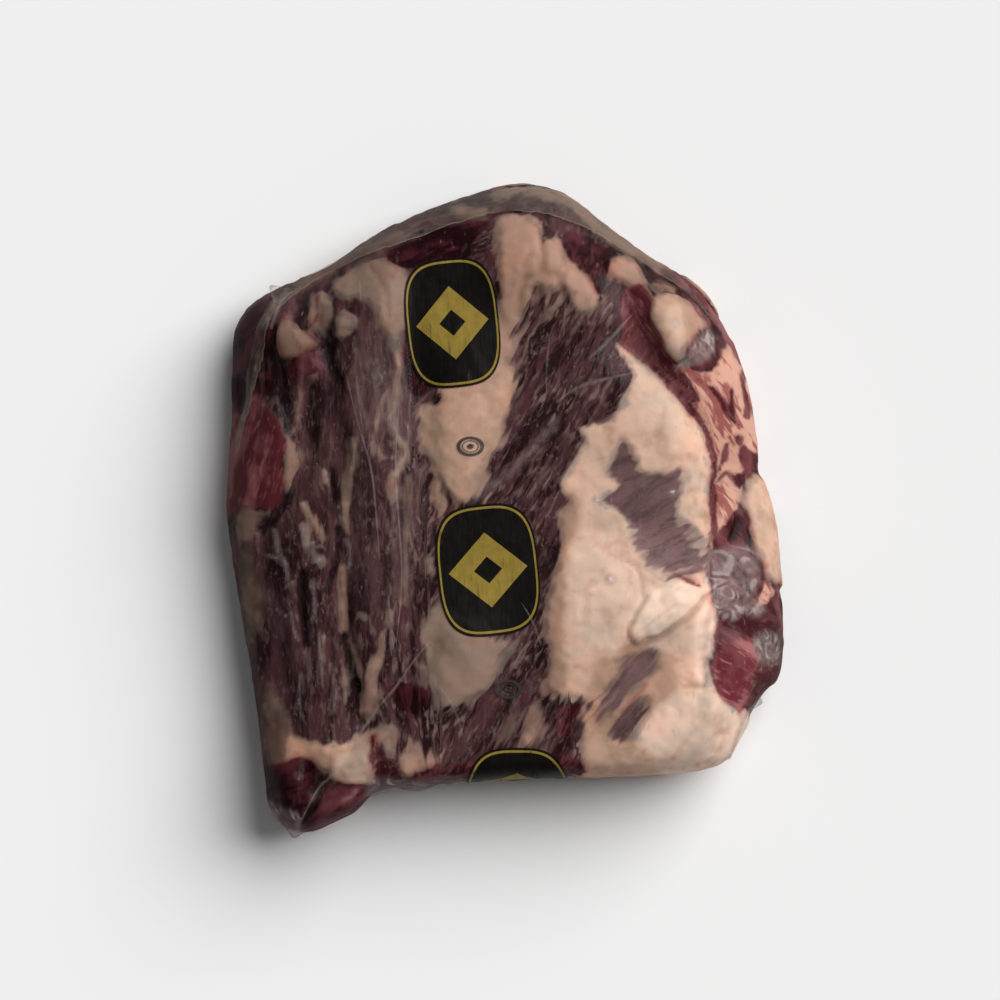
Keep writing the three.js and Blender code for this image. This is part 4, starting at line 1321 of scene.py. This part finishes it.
def make_creases(surface):
    """Narrow ridges where the film is pinched on itself."""
    points, faces, uv = [], [], []
    for width, height, strength, path in crease_paths():
        found = [drop_on(surface, x, y) for x, y in path]
        kept = [(p, f) for p, f in zip(path, found) if f is not None and f[1][2] > STEEPEST_NORMAL]
        if len(kept) < FEWEST_STATIONS:
            continue
        first = len(points)
        count = len(kept)
        for i, (_, (place, normal)) in enumerate(kept):
            before, after = kept[max(i - 1, 0)][0], kept[min(i + 1, count - 1)][0]
            ahead = np.array([after[0] - before[0], after[1] - before[1], 0.0])
            side = np.cross(normal, ahead)
            side /= max(np.linalg.norm(side), TINY)
            taper = math.sin(math.pi * (i + 0.5) / count) ** 0.5
            for across in np.linspace(-1.0, 1.0, CREASE_COLUMNS):
                rise_here = height * taper * (1.0 - across * across)
                points.append(place + side * across * taper * width / 2 + normal * (rise_here + CREASE_LIFT))
                uv.append((strength, across))
        faces += grid_faces(count, CREASE_COLUMNS, first)
    piece = new_piece("film_creases", points, [face[::-1] for face in faces])
    lay_uv(piece, uv)
    return piece


# The bag's film pinched into a ridge shows as a pale line: partly whitened film, partly a painted highlight.
def pinched_film():
    material, add = new_material("pinched_film")
    veil = add("BsdfDiffuse", {"Color": ink("#c2b2ad")})
    place = add("TexCoord").node.outputs["Object"]
    flat = add("UVMap", uv_map="flat_map")
    split = add("SeparateXYZ", {"Vector": flat}).node
    across = add("Math", {0: split.outputs["Y"]}, operation="ABSOLUTE")
    crease_highlight = add("MapRange", {"Value": across, "From Min": 1.0, "From Max": 0.0, "To Max": 0.34}, **SOFT)
    crease_highlight = add("Math", {0: crease_highlight, 1: split.outputs["X"]}, operation="MULTIPLY")
    broken = add("TexNoise", {"Vector": place, "Scale": 1 / 0.009, "Detail": 1.0})
    seen = add("MapRange", {"Value": broken, "From Min": 0.35, "From Max": 0.65, "To Min": 0.4})
    seen = add("Math", {0: seen, 1: crease_highlight}, operation="MULTIPLY")
    clear = add("BsdfTransparent", {"Color": WHITE})
    add("OutputMaterial", {"Surface": add("MixShader", {"Fac": seen, 1: clear, 2: veil})})
    return material


EAR_ROWS = 16
EAR_COLUMNS = 13
EAR_TIP = 0.35
EAR_TAPER = 0.8
EAR_ROUNDING = 0.35
EAR_WAVE = 0.5
EAR_WAVES = 4.0


def make_ears():
    """Flat, rounded tongues of doubled film at the corners, and thin webs at the near and far edge."""
    points, faces, uv = [], [], []
    for n, (foot, tip, width, height) in enumerate((*EARS.values(), *EDGE_WEBS.values())):
        foot, tip = np.array(foot, float), np.array(tip, float)
        ahead = tip - foot
        side = np.array([-ahead[1], ahead[0]]) / np.linalg.norm(ahead)
        first = len(points)
        for r in range(EAR_ROWS):
            share = r / (EAR_ROWS - 1)
            half = width / 2 * math.sqrt(1.0 - EAR_TAPER * share**2)
            for c in range(EAR_COLUMNS):
                across = 2 * c / (EAR_COLUMNS - 1) - 1
                place = foot + ahead * share * (1 - EAR_ROUNDING * across**2) + side * half * across
                wave = EAR_WAVE * share * math.sin(EAR_WAVES * across + n)
                points.append((*place, height + wave))
                uv.append((across, (1.0 - share) * np.linalg.norm(ahead) * EAR_TIP))
        faces += grid_faces(EAR_ROWS, EAR_COLUMNS, first)
    piece = new_piece("film_ears", points, faces)
    lay_uv(piece, uv)
    return piece


# The print


BADGE_CELLS = 44
BADGE_SQUARENESS = 3.2
PRINT_LIFT = 0.14


def badge_places():
    """The flat places of one badge from -1 to 1: a square net drawn out to a rounded square."""
    flat = []
    for row in range(BADGE_CELLS + 1):
        for column in range(BADGE_CELLS + 1):
            u, v = 2 * column / BADGE_CELLS - 1, 2 * row / BADGE_CELLS - 1
            ring = max(abs(u), abs(v))
            size = (abs(u)**BADGE_SQUARENESS + abs(v)**BADGE_SQUARENESS) ** (1 / BADGE_SQUARENESS)
            draw = ring / size if size > 0 else 0.0
            flat.append((u * draw, v * draw))
    return flat


def printed_points(surface, flat, centre, width, height, turn=0.0):
    """Flat places from -1 to 1, laid on the film from above at a mark's own size and turn."""
    angle = math.radians(turn)
    points = []
    for u, v in flat:
        x, y = u * width / 2, v * height / 2
        place, normal = drop_on(surface, centre[0] + x * math.cos(angle) - y * math.sin(angle),
                                centre[1] + x * math.sin(angle) + y * math.cos(angle))
        points.append(place + normal * PRINT_LIFT)
    return points


def lay_print(surface, name, centre, width, height, turn):
    """One badge on the top of the pack."""
    flat = badge_places()
    points = printed_points(surface, flat, centre, width, height, turn)
    piece = new_piece(name, points, grid_faces(BADGE_CELLS + 1, BADGE_CELLS + 1))
    lay_uv(piece, flat)
    return piece


WALL_CORE_DEPTH = 18.0
WALL_FOOT_ANGLE = -40.0


def lay_lower_badge(surface):
    """This badge runs over the near edge and down the wall."""
    (middle, top), width, height = LOWER_BADGE
    flat = badge_places()
    outward = np.array([0.0, -1.0])
    points = []
    profiles = {}
    for u, v in flat:
        x = round(middle + u * width / 2, 1)
        if x not in profiles:
            core = np.array([x, top + WALL_CORE_DEPTH, CORE_HEIGHT])
            places, run = profile(surface, core, outward, WALL_FOOT_ANGLE)
            profiles[x] = (places, run, np.interp(-top, -places[:, 1], run))
        places, run, start = profiles[x]
        place, along = on_profile(places, run, start + (1 - v) / 2 * height)
        off = np.array([0.0, along[2], -along[1]])
        points.append(place + off * 2 * PRINT_LIFT)
    piece = new_piece("badge_lower", points, grid_faces(BADGE_CELLS + 1, BADGE_CELLS + 1))
    lay_uv(piece, flat)
    return piece


# Two-colour flexographic ink on the bag: a black field with a thin gold line inside its edge
# and a gold lozenge, a little worn where the film wrinkles.
def badge_ink():
    material, add = new_material("printed_ink")
    place = add("TexCoord").node.outputs["Object"]
    flat = add("UVMap", uv_map="flat_map")
    split = add("SeparateXYZ", {"Vector": flat}).node
    u, v = (add("Math", {0: split.outputs[axis]}, operation="ABSOLUTE") for axis in ("X", "Y"))
    # distance from the middle in the badge's own rounded measure, 1 at the edge
    wide, high = (add("Math", {0: side, 1: BADGE_SQUARENESS}, operation="POWER") for side in (u, v))
    ring = add("Math", {0: wide, 1: high}, operation="ADD")
    ring = add("Math", {0: ring, 1: 1 / BADGE_SQUARENESS}, operation="POWER")
    line = add("Math", {0: ring, 1: 0.945, 2: 0.018}, operation="COMPARE")
    high = add("Math", {0: v, 1: 1.75}, operation="MULTIPLY")
    lozenge = add("Math", {0: u, 1: 1.28, 2: high}, operation="MULTIPLY_ADD")
    gold = add("Math", {0: lozenge, 1: 1.0}, operation="LESS_THAN")
    inner = add("Math", {0: lozenge, 1: 0.36}, operation="LESS_THAN")
    gold = add("Math", {0: gold, 1: inner}, operation="SUBTRACT")
    gold = add("Math", {0: gold, 1: line}, operation="MAXIMUM")
    drawn = add("VectorMath", {0: place, 1: (1 / 0.0022, 1 / 0.02, 1 / 0.006)}, operation="MULTIPLY")
    worn = add("TexNoise", {"Vector": drawn, "Scale": 1.0, "Detail": 3.0, "Roughness": 0.6,
                            "Distortion": 0.5})
    mottle = add("TexNoise", {"Vector": place, "Scale": 1 / 0.004, "Detail": 3.0})
    black = add("MixRGB", {"Fac": mottle, "Color1": ink("#050505"), "Color2": ink("#16140f")})
    yellow = add("MixRGB", {"Fac": mottle, "Color1": ink("#776527"), "Color2": ink("#98813b")})
    colour = add("MixRGB", {"Fac": gold, "Color1": black, "Color2": yellow})
    bump = add("Bump", {"Height": worn, "Strength": 0.35, "Distance": 0.0008})
    left = add("MapRange", {"Value": worn, "From Min": 0.60, "From Max": 0.72, "To Min": 0.97,
                            "To Max": 0.55})
    shader = add("BsdfPrincipled", {"Base Color": colour, "Roughness": 0.5, "IOR": 1.45,
                                    "Specular IOR Level": 0.08, "Normal": bump, "Alpha": left})
    add("OutputMaterial", {"Surface": shader})
    return material


STAMP_RINGS = 10
STAMP_AROUND = 40


def make_stamps(surface):
    """Two small oval marks of plain rings."""
    flat = [(0.0, 0.0)]
    for r in range(1, STAMP_RINGS + 1):
        for c in range(STAMP_AROUND):
            a = 2 * math.pi * c / STAMP_AROUND
            flat.append((math.cos(a) * r / STAMP_RINGS, math.sin(a) * r / STAMP_RINGS))
    points, faces, uv = [], [], []
    for centre in STAMPS.values():
        first = len(points)
        points += printed_points(surface, flat, centre, *STAMP_SIZE)
        faces += [(first, first + 1 + c, first + 1 + (c + 1) % STAMP_AROUND) for c in range(STAMP_AROUND)]
        faces += grid_faces(STAMP_RINGS, STAMP_AROUND, first + 1, True)
        uv += flat
    piece = new_piece("oval_stamps", points, faces)
    lay_uv(piece, uv)
    return piece


# Thin grey marking ink: only the rings and the dot hold colour.
def stamp_ink():
    material, add = new_material("stamp_ink")
    flat = add("UVMap", uv_map="flat_map")
    radius = add("VectorMath", {0: flat}, operation="LENGTH").node.outputs["Value"]
    outer = add("Math", {0: radius, 1: 0.84, 2: 0.13}, operation="COMPARE")
    inner = add("Math", {0: radius, 1: 0.56, 2: 0.04}, operation="COMPARE")
    dot = add("Math", {0: radius, 1: 0.25}, operation="LESS_THAN")
    marked = add("Math", {0: outer, 1: inner}, operation="MAXIMUM")
    marked = add("Math", {0: marked, 1: dot}, operation="MAXIMUM")
    seen = add("Math", {0: marked, 1: 0.78}, operation="MULTIPLY")
    shader = add("BsdfPrincipled", {"Base Color": ink("#2b2724"), "Roughness": 0.5, "Alpha": seen})
    add("OutputMaterial", {"Surface": shader})
    return material


# Making the pieces


meat, mesh_edges = make_meat()
film = make_film(meat, mesh_edges)
skin = surface_of(film)
fin = make_fin(skin)
creases = make_creases(skin)
ears = make_ears()
weld_look, ink_look = welded_film(), badge_ink()
finish_piece(meat, beef())
film_looks = ((film, shrink_film()), (fin, weld_look), (creases, pinched_film()), (ears, weld_look))
for film_piece, look in film_looks:
    finish_piece(film_piece, look)
for badge_name, (centre, width, height, turn) in BADGES.items():
    badge = lay_print(skin, "badge_" + badge_name, centre, width, height, turn)
    finish_piece(badge, ink_look)
finish_piece(lay_lower_badge(skin), ink_look)
finish_piece(make_stamps(skin), stamp_ink())


# Floor, light and camera


FLOOR_SIZE = 6.0
FLOOR_DROP = 0.0003
FLOOR_PAINT = (0.85, 0.85, 0.85, 1.0)
SKY_STRENGTH = 0.152
KEY_STRENGTH = 3.98
KEY_SPREAD = 54
KEY_FROM = (0.8, 0.7, 1.0)
CAMERA_PLACE = (-0.0025, 0.0055, 3.0)
CAMERA_LENS = 214.4

bpy.ops.object.select_all(action="DESELECT")
bpy.ops.mesh.primitive_plane_add(size=FLOOR_SIZE, location=(0, 0, -FLOOR_DROP))
floor = bpy.context.object
floor.name = "floor"
floor_paint, add_paint = new_material("pale_floor")
add_paint("OutputMaterial", {"Surface": add_paint("BsdfDiffuse", {"Color": FLOOR_PAINT})})
floor.data.materials.append(floor_paint)

scene = bpy.context.scene
scene.view_settings.view_transform = "Standard"
world = bpy.data.worlds.new("studio")
world.use_nodes = True
sky = world.node_tree.nodes["Background"]
sky.inputs["Color"].default_value = WHITE
sky.inputs["Strength"].default_value = SKY_STRENGTH
scene.world = world

key = bpy.data.lights.new("soft_key", "SUN")
key.energy = KEY_STRENGTH
key.angle = math.radians(KEY_SPREAD)
key_object = bpy.data.objects.new("soft_key", key)
key_object.rotation_euler = Vector(KEY_FROM).to_track_quat("Z", "Y").to_euler()
scene.collection.objects.link(key_object)

camera = bpy.data.cameras.new("camera")
camera.lens = CAMERA_LENS
camera.sensor_width = 36.0
camera_object = bpy.data.objects.new("camera", camera)
camera_object.location = CAMERA_PLACE
scene.collection.objects.link(camera_object)
scene.camera = camera_object
